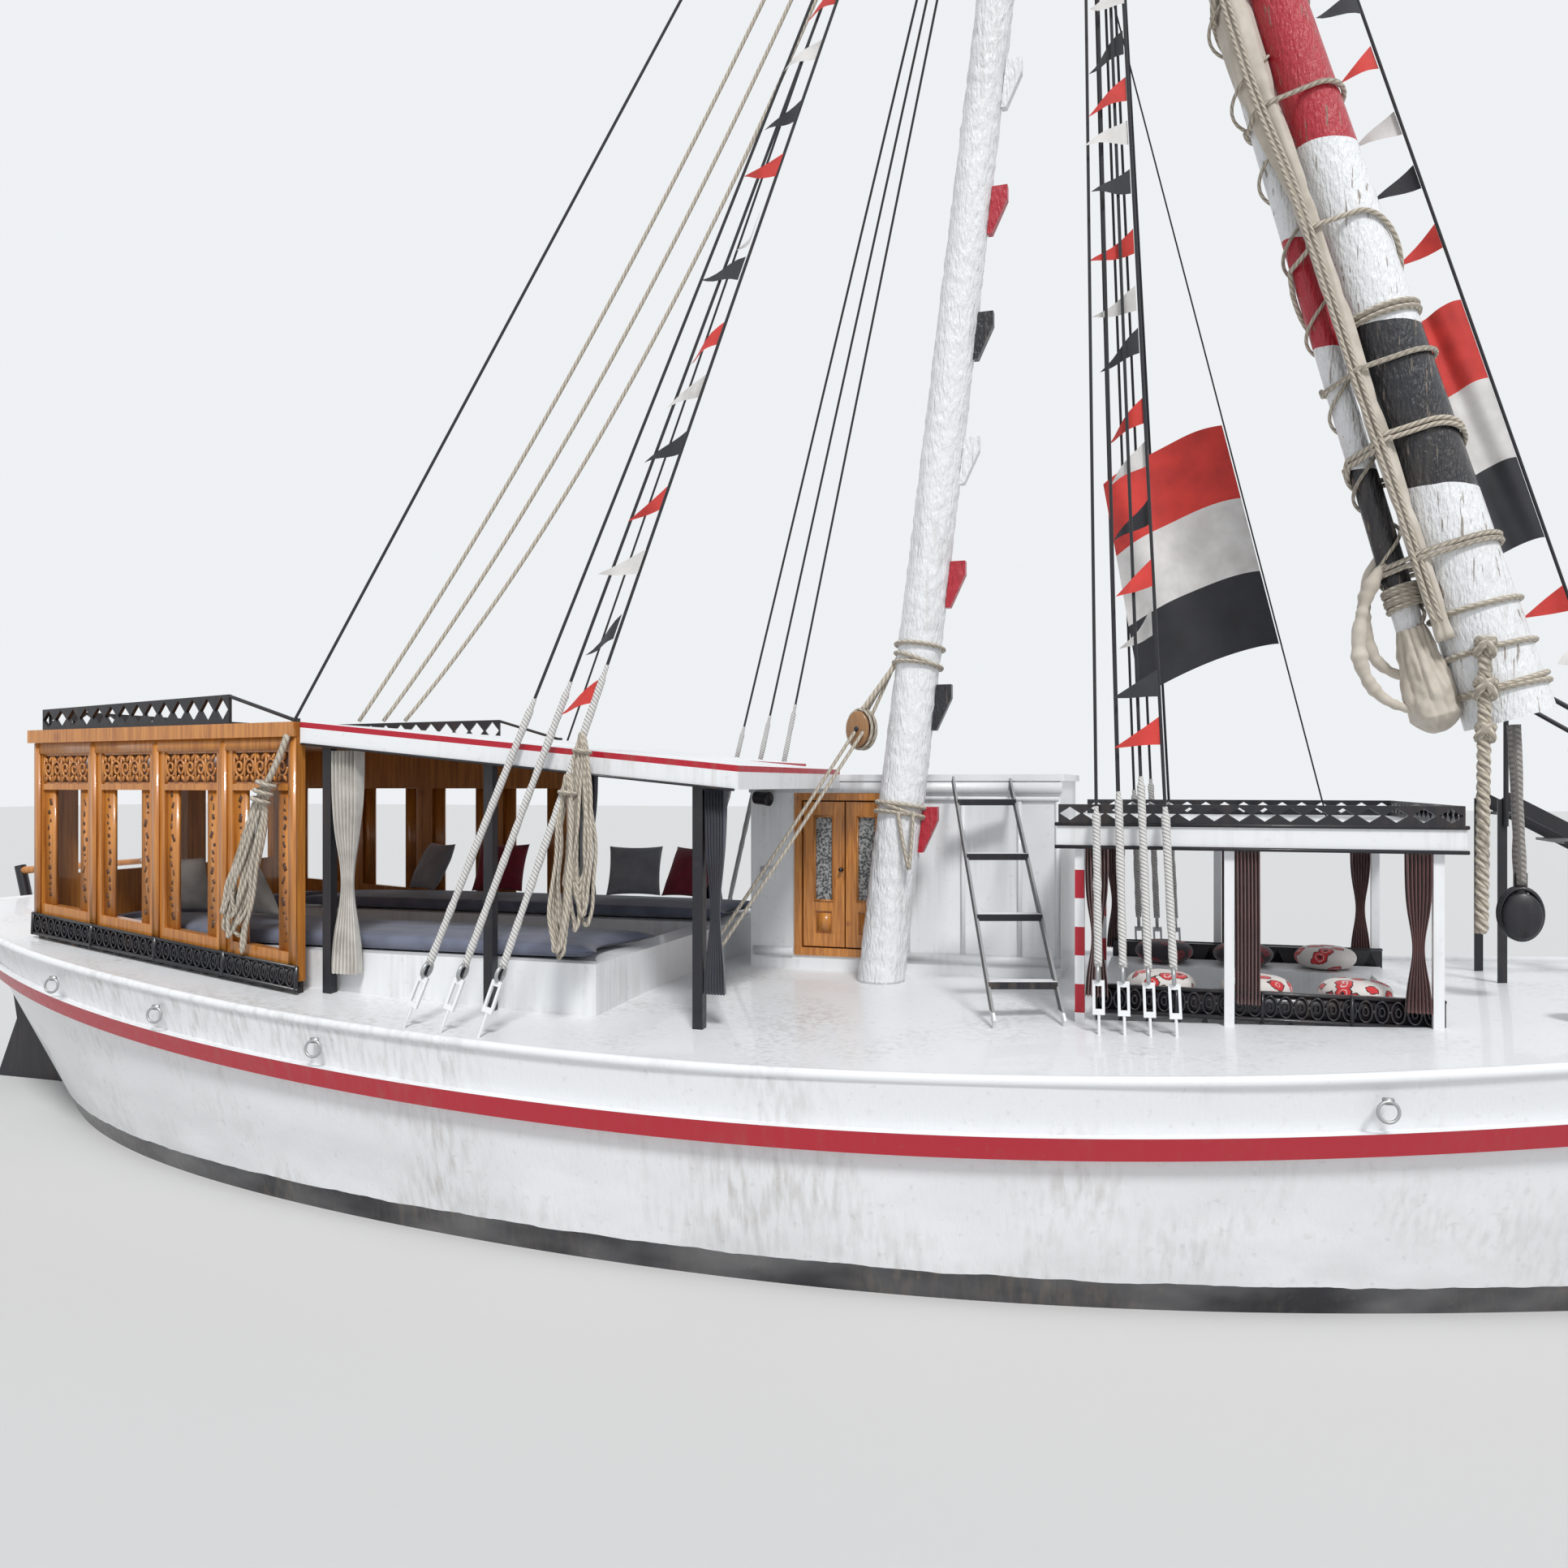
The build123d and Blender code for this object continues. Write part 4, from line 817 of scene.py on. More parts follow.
class FELUCCA_OT_mast(bpy.types.Operator):
    """Mast wrapped and painted by hand, with rope strops and a double block"""
    bl_idname = "felucca.mast"
    bl_label = "Mast"

    def execute(self, context):
        rings, sides = 520, 48
        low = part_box("mast")[0][2]
        verts = []
        for ring in range(rings + 1):
            z = low + (MAST_TOP - low) * ring / rings
            for angle in angles(sides):
                way = round_way(FORE, PORT, angle)
                lump = noise.noise(Vector((way.x * 3.2, way.y * 3.2, z * 14))) * 0.008
                knob = noise.noise(Vector((way.x * 7, way.y * 7, z * 30))) * 0.004
                wrap = 0.0012 * math.sin(z * 60 + 1.5 * angle)
                verts.append(mast_point(z) + way * (mast_radius(z) + lump + knob + wrap - 0.003))
        mast = make_piece("wrapped_mast", verts, skin(rings + 1, sides), "mast")
        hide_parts("mast")
        self.strops()
        self.block()
        return {"FINISHED"}

    def strops(self):
        build = Builder()
        strand = 0.014
        for z, turns in ((2.30, 3), (3.28, 2), (3.40, 1)):
            for turn in range(turns):
                height = z + 2 * strand * turn
                normal = (MAST_RAKE + 0.25 * (turn % 2), 0.1, 1)
                build.ring(mast_point(height), normal, mast_radius(height) + 0.012, strand, 36)
        lowest = mast_point(2.3) - UP * 2.3
        for x, y in ((0.02, -0.17), (0.12, -0.16)):
            end = lowest + Vector((0.10, -0.20, 1.95))
            build.tube(between(lowest + Vector((x, y, 2.32)), end, 8, 0.03), 0.013)
        build.piece("mast_strops", "rope", slot="sail_canvas")

    def block(self):
        centre = mast_point(2.86) + Vector((-0.30, -0.12, 0))
        axle = Vector((0.30, 1.0, 0.0)).normalized()
        sheave_places = (-0.026, 0.026)
        build = Builder()
        build.cheeks(centre, axle, (-0.052, 0.0, 0.052), half=0.012, radius=0.078, stretch=1.38)
        build.piece("halyard_block", "block_wood", slot="saddle_wood")
        sheaves = Builder()
        groove = [(-0.012, 0.02), (-0.012, 0.072), (0, 0.062), (0.012, 0.072), (0.012, 0.02)]
        for place in sheave_places:
            sheaves.lathe(centre + axle * place, axle, groove, 28)
        pin = [(0, 0.010), (0, 0.016), (0.144, 0.016), (0.144, 0.010)]
        sheaves.lathe(centre - axle * 0.072, axle, pin, 16)
        sheaves.piece("halyard_sheaves", "iron", slot="black_iron")
        strop = Builder()
        for place in sheave_places:
            strop.ring(centre + axle * place, axle, 0.094, 0.011, 44, stretch=1.36, along=UP)
        strop.tube(between(centre + UP * 0.12, mast_point(3.30) + Vector((-0.13, -0.05, 0)), 12), 0.018)
        strop.piece("halyard_block_strop", "rope", slot="sail_canvas")
        rope = Builder()
        for side in (-0.028, 0.028):
            cleat = (-0.55 + side, -0.95, 1.42)
            rope.tube(between(centre + Vector((side, -0.075, -0.02)), cleat, 20, 0.01), RUNNING_ROPE)
            rope.tube(between(centre + Vector((side, 0.06, 0.04)), mast_point(3.34, -0.14), 10), RUNNING_ROPE)
        rope.piece("halyard_tackle", "rope", slot="sail_canvas")


class FELUCCA_OT_sail(bpy.types.Operator):
    """Sail rolled between yard and boom, its lacing and the canvas bag at the heel"""
    bl_idname = "felucca.sail"
    bl_label = "Furled sail"

    def execute(self, context):
        self.roll()
        self.bag()
        self.lacing()
        self.heel_lashings()
        self.canvas_loops()
        self.hanging_rope()
        self.heel_block()
        return {"FINISHED"}

    def roll(self):
        rings, sides, hitch_step = 420, 32, 0.62
        verts, uvs = [], []
        for ring in range(rings + 1):
            s = SAIL_START + (SAIL_END - SAIL_START) * (ring / rings)
            aft, out, size = table(ROLL, s)
            pinch = 1 - 0.14 * max(0.0, math.cos(TURN * s / hitch_step)) ** 6
            for step, angle in enumerate(angles(sides)):
                fold = 0.10 * math.sin(3 * angle + 2.3 * s) + 0.06 * math.sin(7 * angle - 5.1 * s)
                lump = 0.16 * noise.noise(Vector((math.cos(angle), math.sin(angle), s * 2.4)))
                radius = size * (0.90 + fold + lump) * pinch
                verts.append(yard_point(s, aft, out) + round_way(YARD_AFT, YARD_OUT, angle) * radius)
                uvs.append((s, step / sides))
        roll = make_piece("furled_sail", verts, skin(rings + 1, sides, True), "canvas", "yard", uvs)
        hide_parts("sail_roll")

    def bag(self):
        """Canvas bag, gathered at its foot and pleated towards its mouth"""
        rings, sides = 90, 120
        start, end = yard_point(0.03, 0.345, 0.01), yard_point(0.62, 0.325, 0.02)
        verts = []
        for ring in range(rings + 1):
            share = ring / rings
            swell = min(1.0, (share / 0.16 + 0.04) ** 0.5)
            swell *= 1 - 0.42 * max(0.0, share - 0.35) ** 1.2 / 0.65 ** 1.2
            for angle in angles(sides):
                around = round_way(FORE, PORT, angle)
                pleat = abs(math.sin(7 * angle + 0.9 * math.sin(3 * angle) + 1.6 * share))
                crease = 0.16 * noise.noise(around * 1.6 + UP * (share * 5))
                crease -= 0.17 * (1 - pleat) ** 2 * share ** 0.8
                crease += 0.05 * noise.noise(around * 4.5 + UP * (share * 11))
                crease += 0.09 * math.sin(11 * angle) * max(0.0, 1 - share / 0.14)
                radius = 0.165 * swell * (0.97 + crease)
                verts.append(start.lerp(end, share) + round_way(YARD_AFT * 0.85, YARD_OUT, angle) * radius)
        bag = make_piece("heel_bag", verts, skin(rings + 1, sides, True), "canvas", "yard")
        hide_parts("sail_bag")

    def wrap(self, build, s, turns, tilt):
        """Turns of rope laid close round yard, boom and sail"""
        steps_round, radius = 48, 0.014
        pitch = 2.3 * radius
        points = []
        for index in range(turns * steps_round):
            turn, step = divmod(index, steps_round)
            share = turn + step / steps_round
            at = s + pitch * share + tilt * math.sin(TURN * share)
            points.append(yard_point(at, *girth(at, radius + 0.004)[step]))
        points.append(points[0] + YARD_UP * pitch * turns)
        build.tube(points, radius)

    def lacing(self):
        build = Builder()
        count, first, long, pitch = 1100, 0.62, 5.3, 0.47
        spiral = []
        for index in range(count):
            s = first + long * index / (count - 1)
            angle = TURN * s / pitch
            wide = max(0.0, table(ROLL, s)[2] - 0.06)
            reach = 0.088 + wide
            spiral.append(yard_point(s, boom_centre(s) - 0.2 * wide + reach * math.cos(angle),
                                     0.4 * wide + reach * math.sin(angle)))
        build.tube(spiral, 0.010, 6)
        for s, turns, tilt in (
                (0.92, 2, 0.03), (1.52, 2, 0.10), (2.02, 1, 0.02), (2.62, 1, 0.26), (3.60, 1, 0.05),
                (4.25, 2, 0.16), (5.05, 1, 0.10), (5.90, 2, 0.12), (6.75, 1, 0.10), (9.70, 1, 0.08),
                (10.6, 1, 0.10), (11.5, 2, 0.08), (12.4, 1, 0.10), (13.3, 2, 0.08), (14.2, 1, 0.06)):
            self.wrap(build, s, turns, tilt)
        count, first, long = 260, 0.60, 5.6
        for shift in (0.0, 0.030):
            line = []
            for index in range(count):
                s = first + long * index / (count - 1)
                aft, out, size = table(ROLL, s)
                slack = 0.008 * math.sin(5.0 * s + 40 * shift)
                line.append(yard_point(s, aft + 0.25 * size + shift, out + size + 0.012 + slack))
            build.tube(line, 0.011, 6)
        build.piece("sail_lacing", "rope", "yard", slot="sail_canvas")

    def heel_lashings(self):
        build = Builder()
        for s, tilt in (
                (0.16, 0.05), (0.19, -0.02), (0.385, 0.04), (0.62, 0.03), (2.30, 0.03), (2.335, 0.03)):
            normal = YARD_UP + Vector((tilt, tilt, 0))
            build.ring(yard_point(s), normal, yard_radius(s) + 0.012, 0.016, 48)
        for turn in range(5):
            normal = YARD_UP + Vector((0.10 * (turn % 2), 0.1, 0))
            build.ring(yard_point(0.74 + 0.026 * turn, 0.31, 0.01), normal, 0.098, 0.015, 36)
        build.piece("heel_lashings", "rope", "yard", slot="sail_canvas")

    def canvas_loops(self):
        """Spare canvas that droops aft of the bag in soft loops"""
        count = 120
        for index, (drop, wide, out) in enumerate(((0.80, 0.21, 0.05), (0.66, 0.15, -0.05))):
            start = yard_point(1.00 + 0.05 * index, 0.36, out)
            points, radii = [], []
            for step in range(count + 1):
                turn = math.pi * step / count
                swing = math.sin(turn)
                point = start + Vector((0.16 * step / count - wide * swing, -0.5 * out * swing,
                                        -drop * math.sin(turn / 2) ** 1.3))
                points.append(point)
                lumps = 0.016 * noise.noise(point * 7) + 0.009 * noise.noise(point * 26)
                radii.append(0.040 + lumps - 0.012 * abs(2 * step - count) / count)
            build = Builder()
            build.tube(points, radii, 20)
            loop = build.piece(f"canvas_loop_{index}", "canvas", "yard", slot="sail_canvas")

    def hanging_rope(self):
        """Three thick strands laid together, with three knots"""
        build = Builder()
        top = YARD_HEEL + Vector((-0.17, -0.25, 0.42))
        down = Vector((-0.02, -0.01, -1.55))
        strands, count, turns = 3, 150, 9.5
        for strand in range(strands):
            points = []
            for step in range(count):
                share = step / (count - 1)
                angle = TURN * (strand / strands + turns * share)
                points.append(top + down * share + round_way(FORE, PORT, angle) * 0.018)
            build.tube(points, 0.017)
        for at, size in ((0.05, 0.050), (0.27, 0.056), (0.50, 0.046)):
            for tilt in ((0.8, 0.2, 0.6), (-0.6, 0.4, 0.7)):
                build.ring(top - UP * at, tilt, size, 0.022)
        build.piece("hanging_rope", "rope", "yard", slot="sail_canvas")

    def heel_block(self):
        top = YARD_HEEL + Vector((0.02, 0.0, -0.03))
        strop, block = Builder(), Builder()
        sides = (-0.026, 0.026)
        for side in sides:
            points = between(top + PORT * side, top + Vector((0.03, side, -0.86)), 24)
            strop.tube(points, [0.026 + 0.007 * noise.noise(p * 8) for p in points], 10)
        strop.piece("heel_strop", "strop", "yard", slot="sail_canvas")
        centre = top + Vector((0.03, 0, -1.03))
        block.cheeks(centre, PORT, (-0.045, 0.045), half=0.016, radius=0.088, stretch=1.32)
        groove = [(-0.028, 0.02), (-0.028, 0.085), (0, 0.072), (0.028, 0.085), (0.028, 0.02)]
        block.lathe(centre, PORT, groove, 28)
        for side in sides:
            block.ring(centre + Vector((0, side, 0.01)), PORT, 0.100, 0.012, 40, stretch=1.38, along=UP)
        block.tube(between(top + Vector((0.03, 0, -0.80)), centre + UP * 0.10, 6), 0.034, 12)
        block.piece("heel_block", "iron", "yard", slot="black_iron")


class FELUCCA_OT_stays(bpy.types.Operator):
    """Served ends, thimbles, pennant lines and slack ropes"""
    bl_idname = "felucca.stays"
    bl_label = "Stay ends and lines"

    def execute(self, context):
        served, rings = Builder(), Builder()
        for number, row in enumerate(SHROUDS):
            long = (1.60 if row[0] < 0 else 0.85) + 0.08 * (number * 7 % 3)
            for side in (-1, 1):
                foot, head = stay_line(row, side)
                way = (head - foot).normalized()
                start = foot + way * (BUCKLE + 0.05)
                points = [start + way * (long * i / 60) for i in range(61)]
                radii = [0.021 + 0.004 * noise.noise(p * 14) - 0.008 * (i > 57) for i, p in enumerate(points)]
                served.tube(points, radii, 10)
                rings.ring(foot + way * (BUCKLE + 0.02), way.cross(PORT), 0.042, 0.011)
        served.piece("served_stay_ends", "served", slot="stay_wire")
        rings.piece("stay_thimbles", "steel", slot="galvanised")
        self.slack_ropes()
        self.pennants()
        self.hanks()
        return {"FINISHED"}

    def hank(self, build, top, bottom, loops, spread, seed, radius=0.013):
        """Loops of spare rope hung up by one end"""
        pick = random.Random(seed)
        for loop in range(loops):
            low = bottom + Vector((pick.uniform(-1, 1) * spread, pick.uniform(-0.5, 0.5) * spread,
                                   pick.uniform(0.0, 0.30) * (top - bottom).length))
            wide = Vector((pick.uniform(0.4, 1.0) * spread, pick.uniform(-0.4, 0.4) * spread, 0))
            points = []
            for step in range(61):
                turn = TURN * step / 60
                down = 0.5 - 0.5 * math.cos(turn)
                shake = [noise.noise(Vector((step * 0.16, loop + row, seed))) for row in (0, 9)]
                sway = Vector((*shake, 0)) * 0.35 * spread
                points.append(top.lerp(low, down ** 0.8) + wide * math.sin(turn) + sway)
            build.tube(points, radius)

    def hanks(self):
        build = Builder()
        knot = Vector((-3.12, -1.79, 2.50))
        build.tube(between((-2.97, -1.78, 2.80), knot, 10, 0.02), 0.020)
        self.hank(build, knot, Vector((-3.42, -1.74, 1.42)), loops=9, spread=0.062, seed=3)
        for step in range(3):
            build.ring(knot - Vector((0.02, 0, 0.05)) * step, (0.3, 0.1, 1), 0.052, 0.014, 28)
        build.piece("cabin_rope_hank", "rope", slot="sail_canvas")
        build = Builder()
        for z, low, seed in ((2.78, 1.62, 5), (2.55, 1.50, 8)):
            top = at_height(stay_line(SHROUDS[2], -1), z) + Vector((0, -0.02, 0))
            foot = Vector((top.x - 0.02, top.y - 0.03, low))
            self.hank(build, top, foot, loops=8, spread=0.055, seed=seed, radius=0.011)
            build.ring(top - UP * 0.10, (0.1, 0.1, 1), 0.045, 0.012)
        build.piece("shroud_rope_hanks", "rope", slot="sail_canvas")

    def slack_ropes(self):
        build = Builder()
        for shift, sag in ((0.0, 0.55), (0.16, 0.72), (0.30, 0.90)):
            start = Vector((-2.78 + shift, -1.35 + 0.2 * shift, 2.90))
            build.tube(between(start, mast_point(11.7 - shift, -0.12), 60, sag), RUNNING_ROPE)
        build.piece("slack_halyards", "rope", slot="sail_canvas")

    def pennants(self):
        depth, width, parts = cloth_settings().pennant, 0.15, 6
        for name, line, low, high, count in (
                ("pennants_aft", stay_line(SHROUDS[2], -1), 2.9, 9.4, 19),
                ("pennants_fwd", stay_line(SHROUDS[6], -1), 2.6, 8.2, 18),
                ("pennants_bow", forestay_line(), 2.3, 11.6, 26)):
            build = Builder()
            pick = random.Random(name)
            way = (line[1] - line[0]).normalized()
            for index in range(count):
                z = low + (high - low) * (index + 0.5) / count + pick.uniform(-0.06, 0.06)
                top = at_height(line, z)
                if name == "pennants_bow" and 3.6 < z < 5.5:
                    continue
                fly = Vector((-1, pick.uniform(-0.9, 0.9), pick.uniform(-0.9, -0.1))).normalized()
                across = way.cross(fly).normalized()
                verts = []
                for step in range(parts + 1):
                    share = step / parts
                    half = way * (0.5 * width * (1 - share))
                    wave = 0.02 * math.sin(5 * share + index)
                    centre = top + fly * (depth * share + 0.010) + across * wave
                    verts += [centre + half, centre - half]
                faces = [(2 * step, 2 * step + 1, 2 * step + 3, 2 * step + 2) for step in range(parts)]
                build.put(verts, faces, None, index % 3)
            piece = build.piece(name, ("flag_red", "flag_black", "flag_white"), slot="flag_cloth")


class FELUCCA_OT_flags(bpy.types.Operator):
    """Two plain tricolour flags"""
    bl_idname = "felucca.flags"
    bl_label = "Flags"

    def execute(self, context):
        halyard = (HALYARD_FOOT, mast_point(HALYARD_HEAD))
        self.flag("flag_by_the_yard", "flag_port", "flag_halyard", halyard, 3.4, 4.8, 0.95, 0.33, 0.06, 3.0)
        self.flag("flag_on_the_forestay", "flag_bow", "forestay", forestay_line(), 3.9, 5.3, 0.30, 0.12,
                  0.035, 2.0)
        return {"FINISHED"}

    def flag(self, name, node, carrier, line, low, high, long, droop, deep, waves):
        """Sheet in three bands that flies aft from its line and hangs by droop at the fly"""
        way = (line[1] - line[0]).normalized()
        normal = way.cross(-FORE).normalized()
        across, down = 48, 36
        verts = []
        for row in range(down + 1):
            v = row / down
            start = at_height(line, high + (low - high) * v) - FORE * 0.012
            for column in range(across + 1):
                u = column / across
                point = start - FORE * (long * u * (0.86 + 0.12 * v)) - way * droop * u ** 1.5
                wave = deep * math.sin(TURN * waves * u * 0.5 + 1.5 * v) * u ** 0.6
                ripple = 0.3 * deep * math.sin(TURN * (2.3 * u + 1.2 * v)) * u
                verts.append(point + normal * (wave + ripple))
        slots = [min(2, 3 * row // down) for row in range(down) for _ in range(across)]
        piece = make_piece(name, verts, grid(across, down), ("flag_red", "flag_white", "flag_black"), "hull",
                           None, slots)
        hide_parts(node)


class FELUCCA_OT_curtains(bpy.types.Operator):
    """Curtains tied back beside the posts, and two that hang straight"""
    bl_idname = "felucca.curtains"
    bl_label = "Curtains"

    def execute(self, context):
        for node, material, slot, rows in CURTAINS:
            for index, row in enumerate(rows):
                straight = node == "curtains_brown" and index % 3 == 1
                self.curtain(f"{node}_{index}", material, slot, straight, *row)
            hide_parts(node)
        return {"FINISHED"}

    def curtain(self, name, material, slot, straight, x, y, top, low, wide):
        folds = cloth_settings().curtain_folds
        across, down = folds * 10, 60
        tall = top - low
        tie = top - 0.6 * tall
        verts = []
        for row in range(down + 1):
            z = top - tall * row / down
            near = 1.0 if straight else 1 - math.exp(-((z - tie) / (0.22 * tall)) ** 2)
            half = wide * (0.22 + 0.26 * near)
            deep = 0.26 * wide * (0.35 + 0.65 * near)
            for column in range(across + 1):
                u = column / across
                wave = math.sin(TURN * folds * u + 0.8 * math.sin(3 * z))
                verts.append(Vector((x + wide / 2 + half * (2 * u - 1), y + deep * wave, z)))
        piece = make_piece(name, verts, grid(across, down), material)
        return piece


class FELUCCA_OT_seats(bpy.types.Operator):
    """Mattresses, loose cushions and the round cushions of the forward well"""
    bl_idname = "felucca.seats"
    bl_label = "Mattresses and cushions"

    def execute(self, context):
        made = [self.mattress(*row) for row in (
            ("mattress_starboard", (-4.98, -1.50, 1.461), (-1.02, -0.66, 1.57)),
            ("mattress_port", (-4.98, 0.66, 1.461), (-1.02, 1.50, 1.57)),
            ("mattress_stern", (-5.12, -1.16, 1.461), (-5.02, 1.16, 1.57)))]
        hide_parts("aft_mattresses")
        for side, letter in ((-1, "s"), (1, "p")):
            for index, x in enumerate((2.1, 2.6, 3.1)):
                self.round_cushion(f"round_cushion_{letter}{index}", x, side * 0.71)
        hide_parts("fwd_cushions")
        for row in (
                ("cushion_grey_a", "grey_cloth", -3.95, 1.18, -0.5),
                ("cushion_grey_b", "grey_cloth", -2.05, 1.22, 0.3),
                ("cushion_red_a", "red_cloth", -3.30, 1.22, 0.2),
                ("cushion_red_b", "red_cloth", -1.55, 1.20, -0.3),
                ("cushion_white_a", "white_cloth", -4.55, -1.02, 0.4),
                ("cushion_white_b", "white_cloth", -3.9, -1.08, -0.2)):
            self.square_cushion(*row)
        return {"FINISHED"}

    def pillow(self, name, material, size, place, count, crown):
        """A crowned closed form whose sides pull in between its corners"""
        verts, faces = [], []
        for sign in (1, -1):
            for row in range(count + 1):
                for column in range(count + 1):
                    u, v = 2 * column / count - 1, 2 * row / count - 1
                    edge = (1 - abs(u) ** 3.2) * (1 - abs(v) ** 3.2)
                    wrinkle = 0.05 * noise.noise(Vector((u * 3, v * 3, sign * 2.0)))
                    x = u * (1 - 0.07 * (1 - v * v)) * size[0] / 2
                    y = v * (1 - 0.07 * (1 - u * u)) * size[1] / 2
                    z = sign * (0.5 * edge ** crown + wrinkle * edge) * size[2]
                    verts.append(place @ Vector((x, y, z)))
        half = (count + 1) ** 2
        for a, low, corner, right in grid(count, count):
            faces.append((a, right, corner, low))
            faces.append((half + a, half + low, half + corner, half + right))
        piece = make_piece(name, verts, faces, material)
        weld(piece)
        return piece

    def mattress(self, name, low, high):
        """Long pillow whose outer edge follows the taper of the cabin's side"""
        low, high = Vector(low), Vector(high)
        piece = self.pillow(name, "mattress", high - low, Matrix.Translation((low + high) / 2), 40, 0.16)
        outer, inner = max(abs(low.y), abs(high.y)), min(abs(low.y), abs(high.y))
        if low.y * high.y > 0:
            for vert in piece.data.vertices:
                side = CABIN_FORE[1] - CABIN_TAPER * max(0.0, CABIN_FORE[0] - vert.co.x)
                share = (abs(vert.co.y) - inner) / (outer - inner)
                vert.co.y = math.copysign(inner + share * (min(outer, side - 0.10) - inner), vert.co.y)
        return piece

    def square_cushion(self, name, material, x, y, turn):
        lean = Matrix.Rotation(math.copysign(math.radians(62), y), 4, "X")
        place = Matrix.Translation((x, y, 1.79)) @ Matrix.Rotation(turn, 4, "Z") @ lean
        piece = self.pillow(name, material, (0.44, 0.44, 0.15), place, 26, 0.6)

    def round_cushion(self, name, x, y):
        rings, sides = 26, 48
        middle = Vector((x, y, 1.3755))
        verts = []
        for ring in range(rings + 1):
            angle = math.pi * (ring / rings)
            height = 0.072 * (math.cos(angle) if abs(math.cos(angle)) > 1e-6 else 0.0)
            for turn in angles(sides):
                radius = 0.185 * math.sin(angle) ** 0.55 * (1 + 0.012 * math.cos(12 * turn))
                verts.append(middle + round_way(FORE, PORT, turn) * radius + UP * height)
        material = "floral" if y < 0 or x > 3 else "floral_dark"
        piece = make_piece(name, verts, skin(rings + 1, sides, True, False), material)
        weld(piece)
        return piece


def spot(wall, u, v, depth):
    """Place on an upright wall, given as its start, its way along and its way out: along, up, out"""
    start, along, out = wall
    return start + along * u + out * depth + UP * v


def openwork(wall, long, foot):
    """Iron ovals between two bars, in front of a dark plate that is painted shade for the darkness behind the
    openwork, along a line that rises with foot
    """
    build = Builder()
    out = wall[2]
    way = (wall[1] + UP * (foot(1.0) - foot(0.0))).normalized()
    rise_way = way.cross(out)
    axes = (way, out, rise_way if rise_way.z > 0 else -rise_way)
    middle = foot(long / 2)
    # Dark plate behind the ovals: painted shade seen through the openwork
    build.slab(spot(wall, long / 2, middle + 0.022, 0.022), (long, 0.004, 0.135), 0.001, axes)
    for rise, tall in ((0.092, 0.018), (-0.046, 0.022)):
        build.slab(spot(wall, long / 2, middle + rise, 0.031), (long + 0.01, 0.016, tall), 0.004, axes)
    ovals = round((long - 0.05) / 0.0765)
    wide = (long - 0.05) / ovals
    for index in range(ovals):
        u = 0.025 + wide * (index + 0.5)
        place = spot(wall, u, foot(u) + 0.024, 0.030)
        for radius, thick, count in ((0.055, 0.006, 20), (0.022, 0.005, 14)):
            build.ring(place, out, radius, thick, count, 6, 0.58, way)
        if index:
            knot = place - way * (wide / 2) - out * 0.007
            build.lathe(knot, out, [(0.0, 0.006), (0.004, 0.010), (0.012, 0.006)], 8)
    for index in range(5):
        u = min(max(index * long / 4, 0.010), long - 0.010)
        build.slab(spot(wall, u, foot(u) + 0.022, 0.032), (0.022, 0.020, 0.160), 0.004, axes)
    return build


